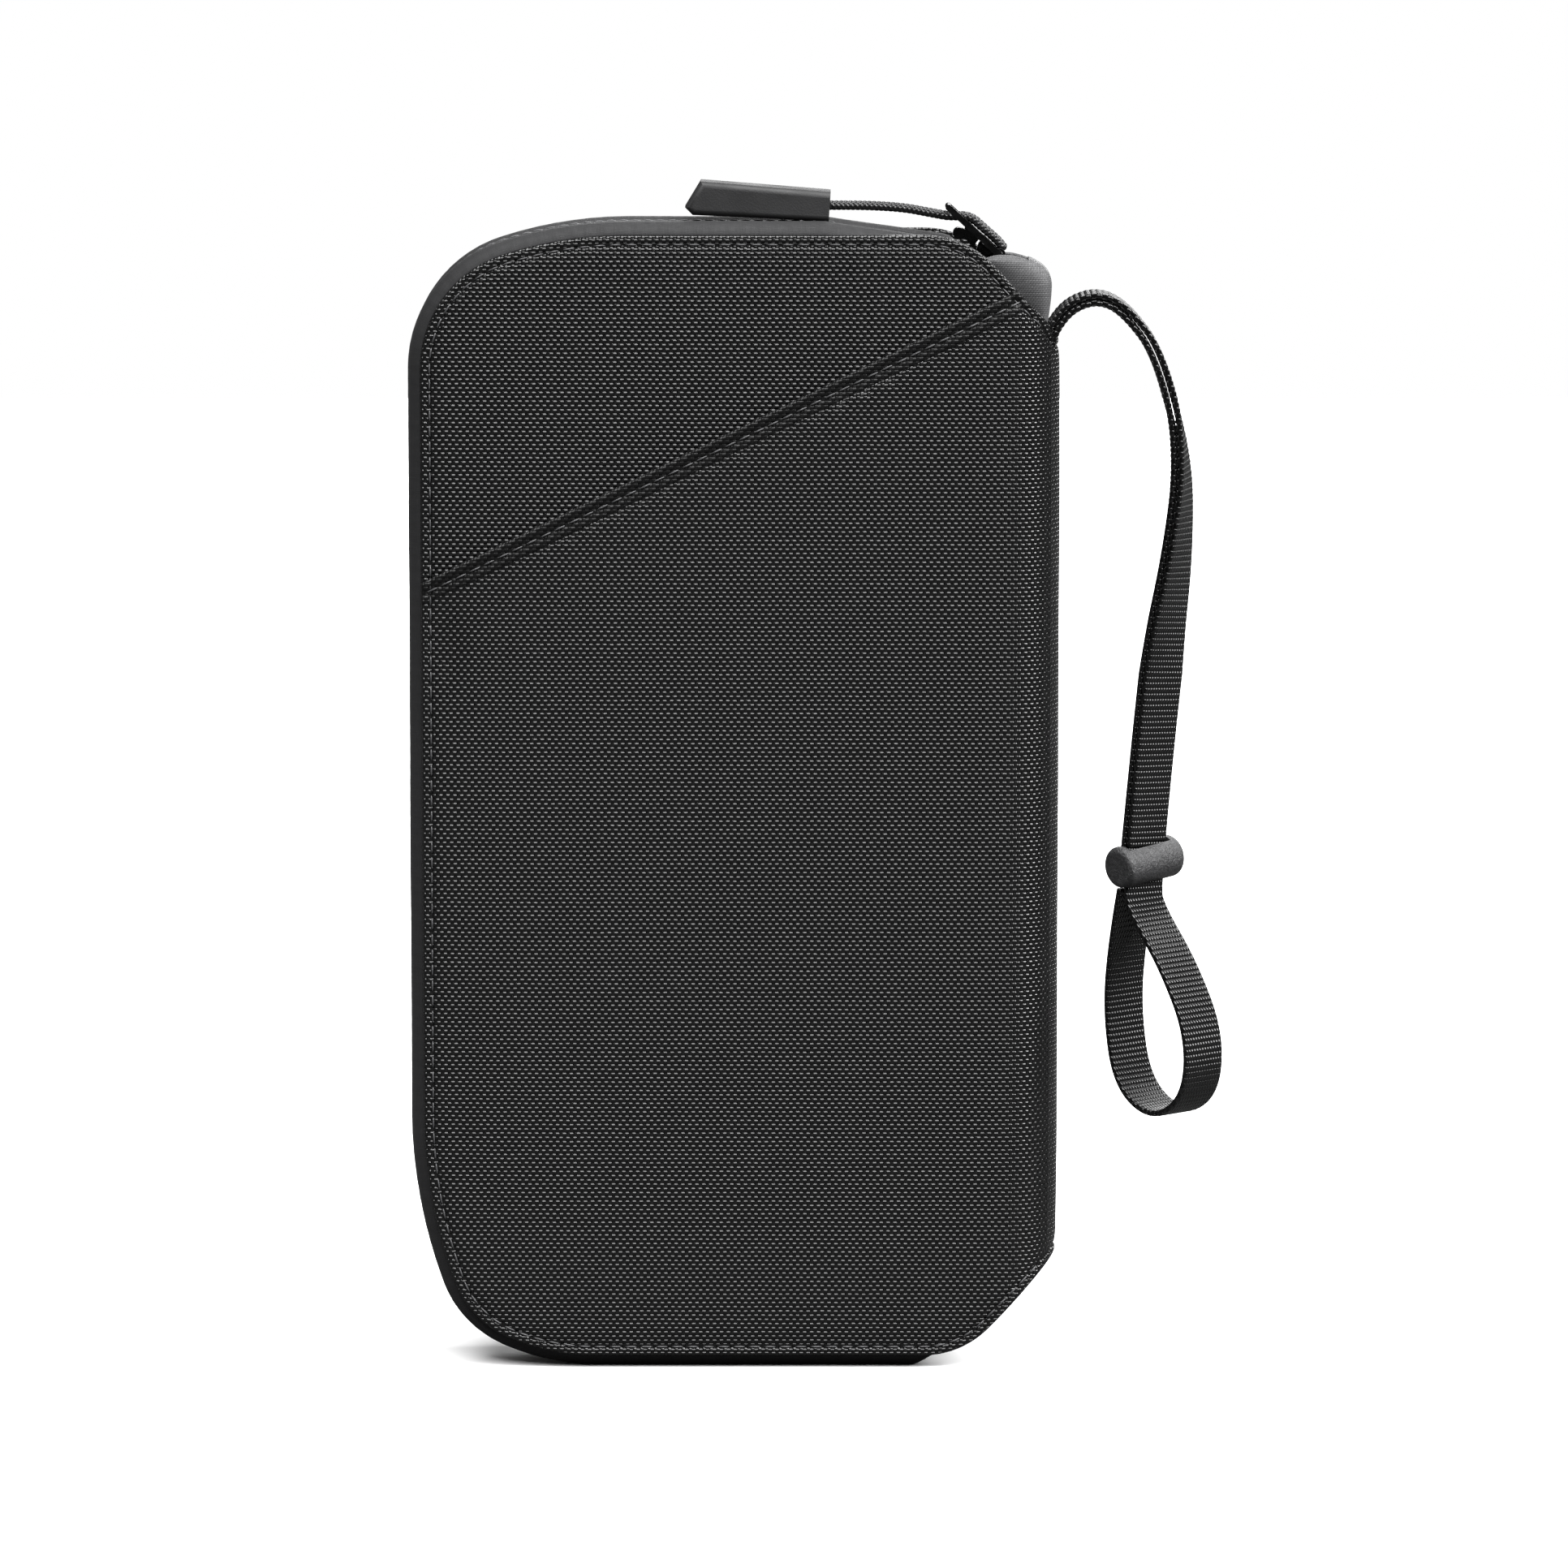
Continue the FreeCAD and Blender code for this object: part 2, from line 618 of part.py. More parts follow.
def twist_at(z):
    part = (TWIST_START_Z - z) / (TWIST_START_Z - TWIST_END_Z)
    return LOOP_TWIST * min(1.0, max(0.0, part))


def leg_stations():
    route = fillet_route([Vec(x, 0, z) for x, z in LEG_ROUTE], "strap leg")
    filled = []
    for (place, tangent), (following, next_tangent) in zip(route, route[1:]):
        filled.append((place, tangent))
        span = place.distanceToPoint(following)
        turning = TWIST_END_Z - 4 < following.z < TWIST_START_Z + 4 and tangent.z < -0.9
        pieces = max(1, int(span / 5.0)) if turning else 1
        for k in range(1, pieces):
            share = k / pieces
            tangent_k = (tangent * (1 - share) + next_tangent * share).normalize()
            filled.append((place * (1 - share) + following * share, tangent_k))
    filled.append(route[-1])
    past_arc = [t.z < -0.5 for _, t in filled]
    return [(p, t, twist_at(p.z) if down else 0.0) for (p, t), down in zip(filled, past_arc)]


def flex_point():
    start, end = (Vec(LEG_ROUTE[i][0], 0, LEG_ROUTE[i][1]) for i in FLEX_RUN)
    return start + (end - start) * FLEX_SHARE, (end - start).normalize()


def split_at_flex(stations):
    """The arch that stands out of the spine, and the legs that swing below it."""
    place, tangent = flex_point()
    before = [s for s in stations if (s[0] - place).dot(tangent) < 0]
    after = [s for s in stations if (s[0] - place).dot(tangent) > 0]
    middle = [(place, tangent, 0.0)]
    return before + middle, middle + after


def loop_stations():
    turn = math.radians(LOOP_TWIST)
    across = Vec(math.cos(turn), -math.sin(turn), 0)
    foot = Vec(leg_x(94.6), 0, 0)
    points = [foot + across * u + Vec(0, 0, z) for u, z in LOOP_ROUTE]
    route = fillet_route(points, "strap loop")
    wide = Vec(-math.sin(turn), -math.cos(turn), 0)
    out = []
    for place, tangent in route:
        level = Vec(0, -1, 0)
        level = (level - tangent * level.dot(tangent)).normalize()
        angle = math.degrees(level.getAngle(wide))
        if level.cross(wide).dot(tangent) < 0:
            angle = -angle
        out.append((place, tangent, angle))
    return out


def strap_anchor():
    """The webbing's sewn end, folded into the top of the spine below the pivot."""
    half = WEB_WIDTH / 2
    block = box(*ANCHOR_X, -half, half, *ANCHOR_SPAN)
    block.rotate(Vec(60.8, 0, ANCHOR_SPAN[1]), Vec(0, 1, 0), ANCHOR_LEAN)
    return block


def barrel_slider():
    """Barrel lock: a round bar with a flat slot that both layers of webbing run through."""
    turn = math.radians(LOOP_TWIST)
    up = Vec(LEG_TILT, 0, 1).normalize()
    wide = Vec(-math.sin(turn), -math.cos(turn), 0)
    wide = (wide - up * wide.dot(up)).normalize()
    deep = up.cross(wide)
    middle = Vec(leg_x(BARREL_Z), 0, BARREL_Z)
    skew = math.radians(BARREL_SKEW)
    axis = wide * math.cos(skew) - up * math.sin(skew)
    start = middle - axis * (BARREL_LENGTH / 2 + BARREL_SHIFT)
    bar = Part.makeCylinder(BARREL_RADIUS, BARREL_LENGTH, start, axis)
    bar = bar.makeFillet(BARREL_ROUND, [e for e in bar.Edges if len(e.Vertexes) == 1])
    low = middle - up * 6 - wide * BARREL_SLOT[0] / 2 - deep * BARREL_SLOT[1] / 2
    far, across = wide * BARREL_SLOT[0], deep * BARREL_SLOT[1]
    slot = Part.makePolygon([low, low + far, low + far + across, low + across, low])
    return bar.cut(Part.Face(slot).extrude(up * 12))


TAB_LEFT, TAB_RIGHT = -9.4, 19.0
TAB_HALF_WIDTH = 4.3
TAB_ROUND = 1.3


def pull_tab():
    """Moulded grip: slanted left end, flat sides, rounded edges."""
    outline = [(TAB_LEFT, 229.0), (-7.9, 227.5), (18.6, 226.3), (TAB_RIGHT, 232.1), (-6.3, 234.1)]
    grip = prism(outline, -TAB_HALF_WIDTH, TAB_HALF_WIDTH)
    soft = []
    for edge in grip.Edges:
        middle = edge.CenterOfMass
        on_side = abs(abs(middle.y) - TAB_HALF_WIDTH) < 0.01
        if on_side and middle.x < TAB_RIGHT - 1.0:
            soft.append(edge)
    return grip.makeFillet(TAB_ROUND, soft)


# The pull cord's route on the tab's side of the far bar, and over the puller.
CORD_ROUTE = ((18.8, 229.2), (30.5, 229.3), (40.5, 227.4))
WRAP_ROUTE = ((12.3, -1.25), (9.3, 1.6), (6.0, 1.62), (3.4, 1.85), (1.3, 1.9))


def pull_cord():
    return round_cord([Vec(x, 0, z) for x, z in CORD_ROUTE], CORD_RADIUS, "pull cord")


def pull_cord_wrap():
    points = [at(puller_point(t, q), 0) for t, q in WRAP_ROUTE]
    return round_cord(points, CORD_RADIUS, "cord wrap")


# ---------------------------------------------------------------- write the pieces
ARCH, LEG = split_at_flex(leg_stations())
OUTER_LEG = ribbon(LEG, WEB_PITCH / 2, "strap outer leg")
INNER_LEG = ribbon(LEG, -WEB_PITCH / 2, "strap inner leg")
NODES = {
    "back_panel": sheet(BACK_FOAM, BACK),
    "back_stiffener": inside_band(1, BACK_FOAM, stiffener(BACK_LINER, BACK_FOAM)),
    "back_lining": inside_band(1, BACK_FOAM, sheet(BACK_POCKETS, BACK_LINER, LINING_INSET)),
    "back_zip_tape": zip_tape(1, BACK_FOAM),
    "back_zip_coil": zip_coil(1),
    "back_top_stop": top_stop(1),
    "ticket_pocket": pocket_sheet(BACK_POCKETS - LINER, POCKET_RIGHT_X, TICKET_POCKET_TOP),
    "passport_pocket": pocket_sheet(
        BACK_POCKETS - 2 * LINER, POCKET_RIGHT_X, PASSPORT_POCKET_TOP
    ),
    "pen_loop": pen_loop(),
    "zip_garage": zip_garage(),
    "zip_end_tab": zip_end_tab(),
    "spine_panel": spine_panel(),
    "spine_lining": spine_lining(),
    "strap_anchor": strap_anchor(),
    "front_panel": sheet(FRONT_PANEL, FRONT_FOAM),
    "front_slip_pocket": slip_pocket(),
    "slip_pocket_hem": pocket_hem(),
    "front_stiffener": inside_band(-1, -FRONT_FOAM, stiffener(FRONT_FOAM, FRONT_LINER)),
    "front_lining": inside_band(-1, -FRONT_FOAM, sheet(FRONT_LINER, FRONT_POCKETS, LINING_INSET)),
    "front_zip_tape": zip_tape(-1, -FRONT_FOAM),
    "front_zip_coil": zip_coil(-1),
    "front_top_stop": top_stop(-1),
    "card_panel": pocket_sheet(FRONT_POCKETS, CARD_PANEL_RIGHT_X, CARD_PANEL_TOP),
    "slider_body": slider_body(),
    "slider_bridge": slider_bridge(),
    "puller_frame": puller_frame(),
    "puller_cam": puller_cam(),
    "pull_cord_wrap": pull_cord_wrap(),
    "pull_cord": pull_cord(),
    "pull_tab": pull_tab(),
    "strap_outer_arch": ribbon(ARCH, WEB_PITCH / 2, "strap outer arch"),
    "strap_inner_arch": ribbon(ARCH, -WEB_PITCH / 2, "strap inner arch"),
    "strap_outer_leg": OUTER_LEG,
    "strap_inner_leg": INNER_LEG,
    "strap_loop": ribbon(loop_stations(), 0.0, "strap loop").cut(OUTER_LEG).cut(INNER_LEG),
    "barrel_slider": barrel_slider(),
}
for number in range(4):
    NODES["card_slot_%d" % (number + 1)] = card_slot(number)

os.makedirs("parts", exist_ok=True)
for name, shape in NODES.items():
    shape.exportStep("parts/%s.step" % name)
    print(name, len(shape.Solids), shape.isValid(), round(shape.Volume, 1))
FLEX, FLEX_WAY = flex_point()
FLEX_AXIS = FLEX + Vec(-FLEX_WAY.z, 0, FLEX_WAY.x) * (WEB_PITCH / 2 + WEB_THICK / 2 + 0.1)
print("strap flex axis", FLEX_AXIS)
print("puller pin", PULLER_PIN, "slider", SLIDER, "far bar", puller_point(PULLER_LENGTH, 0))
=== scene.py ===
"""Looks of a zip-around passport holder wallet: woven covers, zip band, corded pull and wrist strap.

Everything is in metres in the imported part's own frame: X to the spine, Y to the back, Z up.
A point on the outer cloth is given as (s, z): s is the distance along the cloth from the pouch's
middle, the same as x on the flat cover and then round the spine, and z is the height.
"""
import json
import math
import random

import bmesh
import bpy
import numpy as np
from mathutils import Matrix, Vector
from mathutils.geometry import delaunay_2d_cdt


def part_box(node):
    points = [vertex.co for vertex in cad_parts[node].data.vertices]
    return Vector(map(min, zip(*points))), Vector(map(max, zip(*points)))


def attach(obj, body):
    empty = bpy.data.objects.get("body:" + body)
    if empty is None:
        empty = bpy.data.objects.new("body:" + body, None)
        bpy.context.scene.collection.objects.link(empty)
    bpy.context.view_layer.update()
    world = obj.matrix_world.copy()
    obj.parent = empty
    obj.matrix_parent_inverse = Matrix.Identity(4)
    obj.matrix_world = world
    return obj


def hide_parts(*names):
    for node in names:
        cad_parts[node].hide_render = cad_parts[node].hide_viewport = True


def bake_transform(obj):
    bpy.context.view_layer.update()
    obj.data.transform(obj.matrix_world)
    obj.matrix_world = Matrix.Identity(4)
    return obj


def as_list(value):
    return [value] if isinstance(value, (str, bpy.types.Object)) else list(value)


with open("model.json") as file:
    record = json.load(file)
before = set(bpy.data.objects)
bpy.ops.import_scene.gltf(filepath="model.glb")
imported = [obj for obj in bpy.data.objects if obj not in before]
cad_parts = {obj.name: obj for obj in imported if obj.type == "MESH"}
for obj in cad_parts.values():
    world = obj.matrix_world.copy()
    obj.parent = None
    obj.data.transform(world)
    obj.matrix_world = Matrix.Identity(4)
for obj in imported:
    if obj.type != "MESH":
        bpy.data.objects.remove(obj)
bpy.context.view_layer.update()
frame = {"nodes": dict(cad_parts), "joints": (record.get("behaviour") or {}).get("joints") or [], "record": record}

MM = 0.001
SAME_POINT = 1e-6            # points nearer than this are one point
SAME_LEVEL = 1e-5            # and points nearer than this lie on one line or plane
NODES = frame["nodes"]
JOINTS = {joint["name"]: joint for joint in frame["joints"]}
BODIES = frame["record"]["behaviour"]["bodies"]
NODE_BODY = {node: body for body, nodes in BODIES.items() for node in nodes}

# ---- sizes from the frame
HINGE_X = JOINTS["cover_fold"]["pos_m"][0]
SPINE_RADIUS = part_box("spine_panel")[1].y
SPINE_MID = HINGE_X + SPINE_RADIUS * math.pi / 2
PANEL_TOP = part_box("back_panel")[1].z
PANEL_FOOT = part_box("back_panel")[0].z
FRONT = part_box("front_slip_pocket")[0].y
UPPER_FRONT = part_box("front_panel")[0].y
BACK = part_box("back_panel")[1].y
CHAMFER = math.radians(46)
CHAMFER_SLOPE = math.tan(CHAMFER)

# ---- mesh helpers


def add_object(name, data):
    made = bpy.data.objects.new(name, data)
    bpy.context.scene.collection.objects.link(made)
    return made


def new_piece(name, points, faces, uv=None):
    """A smooth-shaded mesh object. uv is one (u, v) for each point, in metres of cloth."""
    mesh = bpy.data.meshes.new(name)
    mesh.from_pydata([tuple(p) for p in points], [], [tuple(f) for f in faces])
    mesh.validate()
    mesh.shade_smooth()
    if uv is not None:
        corners = np.empty(len(mesh.loops), np.int32)
        mesh.loops.foreach_get("vertex_index", corners)
        layer = mesh.uv_layers.new(name="cloth")
        layer.data.foreach_set("uv", np.asarray(uv, np.float32)[corners].ravel())
    return add_object(name, mesh)


def finish_piece(piece, material, replaces=(), body=None):
    piece.data.materials.append(material)
    if replaces:
        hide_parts(*replaces)
    if body:
        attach(piece, body)
    return piece


def grid_faces(rows, count, wrap=False, base=0):
    """Quads between rows of count points, numbered from base; wrap closes every row."""
    faces = []
    for k in range(rows - 1):
        for i in range(count if wrap else count - 1):
            a = base + k * count + i
            b = base + k * count + (i + 1) % count
            faces.append((a, b, b + count, a + count))
    return faces


def tube_faces(rows, count):
    """Faces of a capped tube made of rows of count points, each row running along it."""
    faces = []
    for k in range(rows):
        a, b = k * count, (k + 1) % rows * count
        faces += [(a + i, a + i + 1, b + i + 1, b + i) for i in range(count - 1)]
    faces.append(tuple(range(0, rows * count, count)))
    faces.append(tuple(range(rows * count - 1, 0, -count)))
    return faces


def turned(faces):
    """The same faces seen from the other side, each from its own first point."""
    return [f[:1] + f[:0:-1] for f in faces]


def weld(piece, closed):
    """Joins points that coincide; a closed piece's faces then point outwards."""
    bm = bmesh.new()
    bm.from_mesh(piece.data)
    bmesh.ops.remove_doubles(bm, verts=bm.verts, dist=SAME_POINT)
    if closed:
        bmesh.ops.recalc_face_normals(bm, faces=bm.faces)
    else:
        loose = [v for v in bm.verts if not v.link_faces]
        bmesh.ops.delete(bm, geom=loose, context="VERTS")
    bm.to_mesh(piece.data)
    bm.free()
    piece.data.shade_smooth()


def thicken(piece, thickness, offset_share):
    solid = piece.modifiers.new("thickness", "SOLIDIFY")
    solid.thickness = thickness
    solid.offset = offset_share


def smooth_step(x):
    x = np.clip(x, 0.0, 1.0)
    return x * x * (3 - 2 * x)


def unit(rows):
    return rows / np.linalg.norm(rows, axis=1)[:, None]


def lengths_along(points):
    steps = np.linalg.norm(np.diff(points, axis=0), axis=1)
    return np.concatenate([[0.0], np.cumsum(steps)])


def points_at(line, along, at):
    """The polyline's values at these distances, where along gives its own points' distances."""
    return np.stack([np.interp(at, along, column) for column in line.T], -1)


def resample(points, count):
    """count points spread evenly along an open polyline, its ends kept."""
    points = np.asarray(points, float)
    along = lengths_along(points)
    return points_at(points, along, np.linspace(0, along[-1], count))


def at_depth(flat, y):
    """3-D points of (x, z) points, all at depth y or each at its own."""
    return np.stack([flat[:, 0], y + 0 * flat[:, 0], flat[:, 1]], 1)


def area_of(loop):
    """Area inside a closed outline, positive when it runs anticlockwise."""
    following = np.roll(loop, -1, axis=0)
    return (loop[:, 0] * following[:, 1] - following[:, 0] * loop[:, 1]).sum() / 2


def flat_outline(node, y):
    """The (x, z) points round a flat CAD layer's face at depth y, anticlockwise from the front."""
    bm = bmesh.new()
    bm.from_mesh(NODES[node].data)
    bmesh.ops.remove_doubles(bm, verts=bm.verts, dist=SAME_POINT)
    flat = {f for f in bm.faces if all(abs(v.co.y - y) < SAME_LEVEL for v in f.verts)}
    ways = {}
    for edge in bm.edges:
        if sum(f in flat for f in edge.link_faces) == 1:
            for a, b in (edge.verts, reversed(edge.verts)):
                ways.setdefault(a, []).append(b)
    walk = [min(ways, key=lambda v: (v.co.x, v.co.z))]
    walk.append(ways[walk[0]][0])
    while walk[-1] != walk[0]:
        walk.append(next(v for v in ways[walk[-1]] if v != walk[-2]))
    loop = np.array([(v.co.x, v.co.z) for v in walk[:-1]])
    bm.free()
    return loop if area_of(loop) > 0 else loop[::-1]


# ---- the cloth's border and its place
SLIT_HALF = 5.3 * MM         # half of the slit that the strap comes out of
SLIT_RAMP = 2.0 * MM
SLIT_DEPTH = 1.2 * MM
BORDER_POINTS = 900


def spine_x(s):
    return HINGE_X + SPINE_RADIUS * np.sin((s - HINGE_X) / SPINE_RADIUS)


def cloth_border(node, y):
    """Edge of a cover's cloth from the top of the spine's middle, round the left, to its foot."""
    loop = flat_outline(node, y)
    right = loop[:, 0].max()
    corner = np.argmax(np.where(loop[:, 0] > right - SAME_LEVEL, loop[:, 1], -1))
    loop = np.roll(loop, -corner, axis=0)
    spine_s = np.linspace(right, SPINE_MID, 40)[1:]
    climb = (spine_x(spine_s) - spine_x(np.array([right]))) * CHAMFER_SLOPE
    foot = np.stack([spine_s, loop[-1, 1] + climb], 1)
    slit = SLIT_DEPTH * smooth_step((SLIT_HALF + SLIT_RAMP - (SPINE_MID - spine_s)) / SLIT_RAMP)
    top = np.stack([spine_s, loop[0, 1] - climb - slit], 1)[::-1]
    return resample(np.concatenate([top, loop, foot]), BORDER_POINTS)


def inward(border, reach=4):
    """Inward normals of an anticlockwise border, evened over reach points each way."""
    tangent = np.gradient(border, axis=0)
    kernel = np.ones(2 * reach + 1) / (2 * reach + 1)
    padded = np.pad(tangent, ((reach, reach), (0, 0)), mode="edge")
    tangent = unit(np.stack([np.convolve(column, kernel, "valid") for column in padded.T], 1))
    return np.stack([-tangent[:, 1], tangent[:, 0]], 1)


def offset(border, distance):
    moved = border + inward(border) * distance
    moved[:, 0] = np.minimum(moved[:, 0], SPINE_MID)
    moved[0, 0] = moved[-1, 0] = SPINE_MID
    return moved


def place(at, h, side, radius=SPINE_RADIUS):
    """3-D points of (s, z) points: side is -1 on the front and 1 on the back, h is outwards."""
    s = at[:, 0]
    angle = np.maximum(0.0, s - HINGE_X) / SPINE_RADIUS
    x = np.where(s < HINGE_X, s, HINGE_X + (radius + h) * np.sin(angle))
    y = (radius + h) * np.cos(angle)
    return np.stack([x, side * y, at[:, 1]], 1)


def distance_to(border, points):
    """Distance from each point to the border's nearest vertex or segment, in slices."""
    found = np.empty(len(points))
    a, ab = border[:-1], np.diff(border, axis=0)
    lengths = (ab ** 2).sum(1)
    for low in range(0, len(points), 400):
        p = points[low:low + 400, None, :] - a[None]
        t = np.clip((p * ab).sum(2) / lengths, 0, 1)
        gap = p - t[..., None] * ab
        found[low:low + 400] = np.sqrt((gap ** 2).sum(2).min(1))
    return found


# ---- relief of the covers
# (distance in from the edge, height above the cover) across the sewn edge of the cloth.
EDGE_PROFILE = (
    (0.0, -0.62), (0.06, -0.30), (0.22, -0.08), (0.5, 0.04), (0.9, 0.10), (1.3, 0.06),
    (1.6, -0.12), (1.85, -0.24), (2.1, -0.14), (2.5, 0.05), (3.2, 0.16), (4.5, 0.24),
)
STITCH_INSET = 1.85 * MM
UNDERSIDE = ((3.0, -0.80), (0.5, -0.80), (0.06, -0.74))
CROWN = 0.55 * MM            # how far the middle of a cover stands proud of its edge
CROWN_REACH = 24 * MM
COVER_SEEDS = {-1: 4, 1: 9}  # by side: -1 is the front and 1 the back
# A shallow dip by the front's left edge, just below the slanted edge of the pocket.
DIP_S, DIP_HALF_S = -56.5 * MM, 3 * MM
DIP_Z, DIP_HALF_Z = 145 * MM, 9 * MM
DIP_DEPTH = 0.8 * MM
EDGE_D, EDGE_H = np.array(EDGE_PROFILE).T * MM


def waves(s, z, seed):
    """Soft unevenness of stretched cloth, up to about 1 unit."""
    dice = random.Random(seed)
    total = np.zeros_like(s)
    for scale in (0.034, 0.052, 0.081, 0.020):
        turn, shift = dice.uniform(0, math.pi), dice.uniform(0, 9)
        across = (s * math.cos(turn) + z * math.sin(turn)) * 2 * math.pi / scale
        along = (z * math.cos(turn) - s * math.sin(turn)) * 2 * math.pi / (scale * 1.7)
        total += np.sin(across + shift) * np.cos(along - shift) * scale / 0.08
    return total * 0.45


def cover_height(at, d, side):
    """Height of a cover's cloth at (s, z) points that lie d in from its edge."""
    s, z = at[:, 0], at[:, 1]
    h = np.interp(d, EDGE_D, EDGE_H)
    flat_share = 1 - smooth_step((s - HINGE_X + 6 * MM) / (12 * MM))
    rise = 1 - (1 - np.clip((d - 3 * MM) / CROWN_REACH, 0, 1)) ** 2
    h = h + CROWN * rise * (0.35 + 0.65 * flat_share)
    h = h + 0.09 * MM * waves(s, z, COVER_SEEDS[side]) * smooth_step((d - 2 * MM) / (8 * MM))
    if side < 0:
        fade = ((s - DIP_S) / DIP_HALF_S) ** 2 + ((z - DIP_Z) / DIP_HALF_Z) ** 2
        h = h - DIP_DEPTH * np.exp(-fade)
    return h


# ---- the slip pocket's slanted edge

def hem_line():
    """(z at s = 0, slope) of the pocket's upper edge, from the CAD hem's corners."""
    loop = flat_outline("slip_pocket_hem", FRONT)
    left = loop[loop[:, 0] < loop[:, 0].min() + 1 * MM]
    right = loop[loop[:, 0] > loop[:, 0].max() - SAME_LEVEL]
    (x0, z0), (x1, z1) = left[np.argmax(left[:, 1])], right[np.argmax(right[:, 1])]
    slope = (z1 - z0) / (x1 - x0)
    return z0 - slope * x0, slope


HEM_Z, HEM_SLOPE = hem_line()
HEM_TILT = math.atan(HEM_SLOPE)


def under_hem(points, drop):
    """How far below the pocket's upper edge, moved down by drop, each (s, z) point lies."""
    return (HEM_Z + HEM_SLOPE * points[:, 0] - points[:, 1]) * math.cos(HEM_TILT) - drop


def crossings(line, drop):
    """(index before it, point) of a line's first and last crossing of the lowered hem line."""
    gap = under_hem(line, drop)
    found = []
    for k in range(len(line) - 1):
        if gap[k] * gap[k + 1] < 0:
            share = gap[k] / (gap[k] - gap[k + 1])
            found.append((k, line[k] + (line[k + 1] - line[k]) * share))
    return found[0], found[-1]


def parts_below(line, drop):
    """The two runs of an offset border below the hem: beside the spine's top, and the long one."""
    (first, first_point), (last, last_point) = crossings(line, drop)
    return [
        np.vstack([line[:first + 1], first_point]),
        np.vstack([last_point, line[last + 1:]]),
    ]


def fill(polygon, step, fine_right=True):
    """Delaunay mesh inside a closed polygon: its own points first, then an even grid of points."""
    low, high = polygon.min(0), polygon.max(0)
    columns = np.arange(low[0], high[0], step)
    if fine_right:
        columns = np.append(columns, high[0] - np.array([2.0, 1.0, 0.4]) * MM)
    rows = np.arange(low[1], high[1], step)
    grid = np.stack(np.meshgrid(columns, rows), -1).reshape(-1, 2)
    closed = np.vstack([polygon, polygon[:1]])
    clear = distance_to(closed, grid) > 0.35 * MM
    points = np.vstack([polygon, grid[clear]])
    count = len(polygon)
    edges = [(k, (k + 1) % count) for k in range(count)]
    made = delaunay_2d_cdt([Vector(p) for p in points], edges, [], 1, 1e-7)
    return np.array([tuple(v) for v in made[0]]), [tuple(f) for f in made[2]]


def cloth_mesh(name, runs_at, side, radius):
    """A cover cloth. runs_at(d) gives its sewn edge, moved in by d, as one or more open runs."""
    points, faces, uv = [], [], []
    rings = [(d * MM, h * MM) for d, h in UNDERSIDE] + [(d, None) for d in EDGE_D]
    counts = [max(8, int(lengths_along(run)[-1] / (0.75 * MM))) for run in runs_at(0.0)]
    inner = []
    for number, count in enumerate(counts):
        base = len(points)
        for d, h in rings:
            ring = resample(runs_at(d)[number], count)
            level = cover_height(ring, d, side) if h is None else h
            points.extend(place(ring, level, side, radius))
            uv.extend(ring)
        faces += grid_faces(len(rings), count, base=base)
        inner.append(ring)
    flat, triangles = fill(np.vstack(inner), STEP)
    d = np.min([distance_to(run, flat) for run in runs_at(0.0)], axis=0)
    base = len(points)
    points.extend(place(flat, cover_height(flat, d, side), side, radius))
    uv.extend(flat)
    faces += [tuple(base + k for k in f) for f in triangles]
    if side > 0:
        faces = [f[::-1] for f in faces]
    piece = new_piece(name, points, faces, uv)
    weld(piece, False)
    return piece


# ---- outer cloth
STEP = 2.4 * MM
SKIN = UPPER_FRONT - FRONT


def fold(piece):
    """Moves the piece's placement into its points."""
    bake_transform(piece)


FRONT_BORDER = cloth_border("front_panel", UPPER_FRONT)
BACK_BORDER = cloth_border("back_panel", BACK)
HEM_DROP = 3.4 * MM


def front_runs(d):
    return [offset(FRONT_BORDER, d)]


def pocket_runs(d):
    return parts_below(offset(FRONT_BORDER, d), HEM_DROP)


def back_runs(d):
    return [offset(BACK_BORDER, d)]


def make_covers(weave):
    for name, runs, side, radius, nodes in (
        ("front_cloth", front_runs, -1, SPINE_RADIUS - SKIN, ["front_panel"]),
        ("pocket_cloth", pocket_runs, -1, SPINE_RADIUS, ["front_slip_pocket"]),
        ("back_cloth", back_runs, 1, SPINE_RADIUS, ["back_panel", "spine_panel"]),
    ):
        cloth = cloth_mesh(name, runs, side, radius)
        finish_piece(cloth, weave, nodes)
        fold(cloth)


# (distance below the pocket's upper edge, height above the cloth) across the turned hem.
HEM_SECTION = (
    (0.6, -0.75), (0.1, -0.7), (-0.05, -0.35), (0.0, 0.1), (0.15, 0.38), (0.45, 0.46), (0.9, 0.36),
    (1.4, 0.18), (1.8, 0.02), (2.1, -0.05), (2.4, 0.02), (2.8, 0.15), (3.3, 0.18), (3.8, 0.08),
    (4.1, -0.1),
)
HEM_STITCH = 2.1 * MM
HEM_POINTS = 420
SEAM_POINTS = 500


def hem_row(drop, inset, count):
    """Even points of the line drop below the pocket's edge, and their heights on the cover."""
    (_, right), (_, left) = crossings(offset(FRONT_BORDER, inset), drop)
    row = left + (right - left) * np.linspace(0, 1, count)[:, None]
    return row, cover_height(row, distance_to(FRONT_BORDER, row), -1)


def make_hem(cloth, thread):
    points, uv = [], []
    for w, h in HEM_SECTION:
        row, level = hem_row(w * MM, 0.0, HEM_POINTS)
        points.extend(place(row, level + h * MM, -1))
        uv.extend(row)
    faces = turned(grid_faces(len(HEM_SECTION), HEM_POINTS))
    hem = new_piece("pocket_hem", points, faces, uv)
    finish_piece(hem, cloth, ["slip_pocket_hem"])
    fold(hem)
    line, level = hem_row(HEM_STITCH, 1.0 * MM, SEAM_POINTS)
    stitch_row("hem_stitches", line, level + 0.05 * MM, -1, thread)


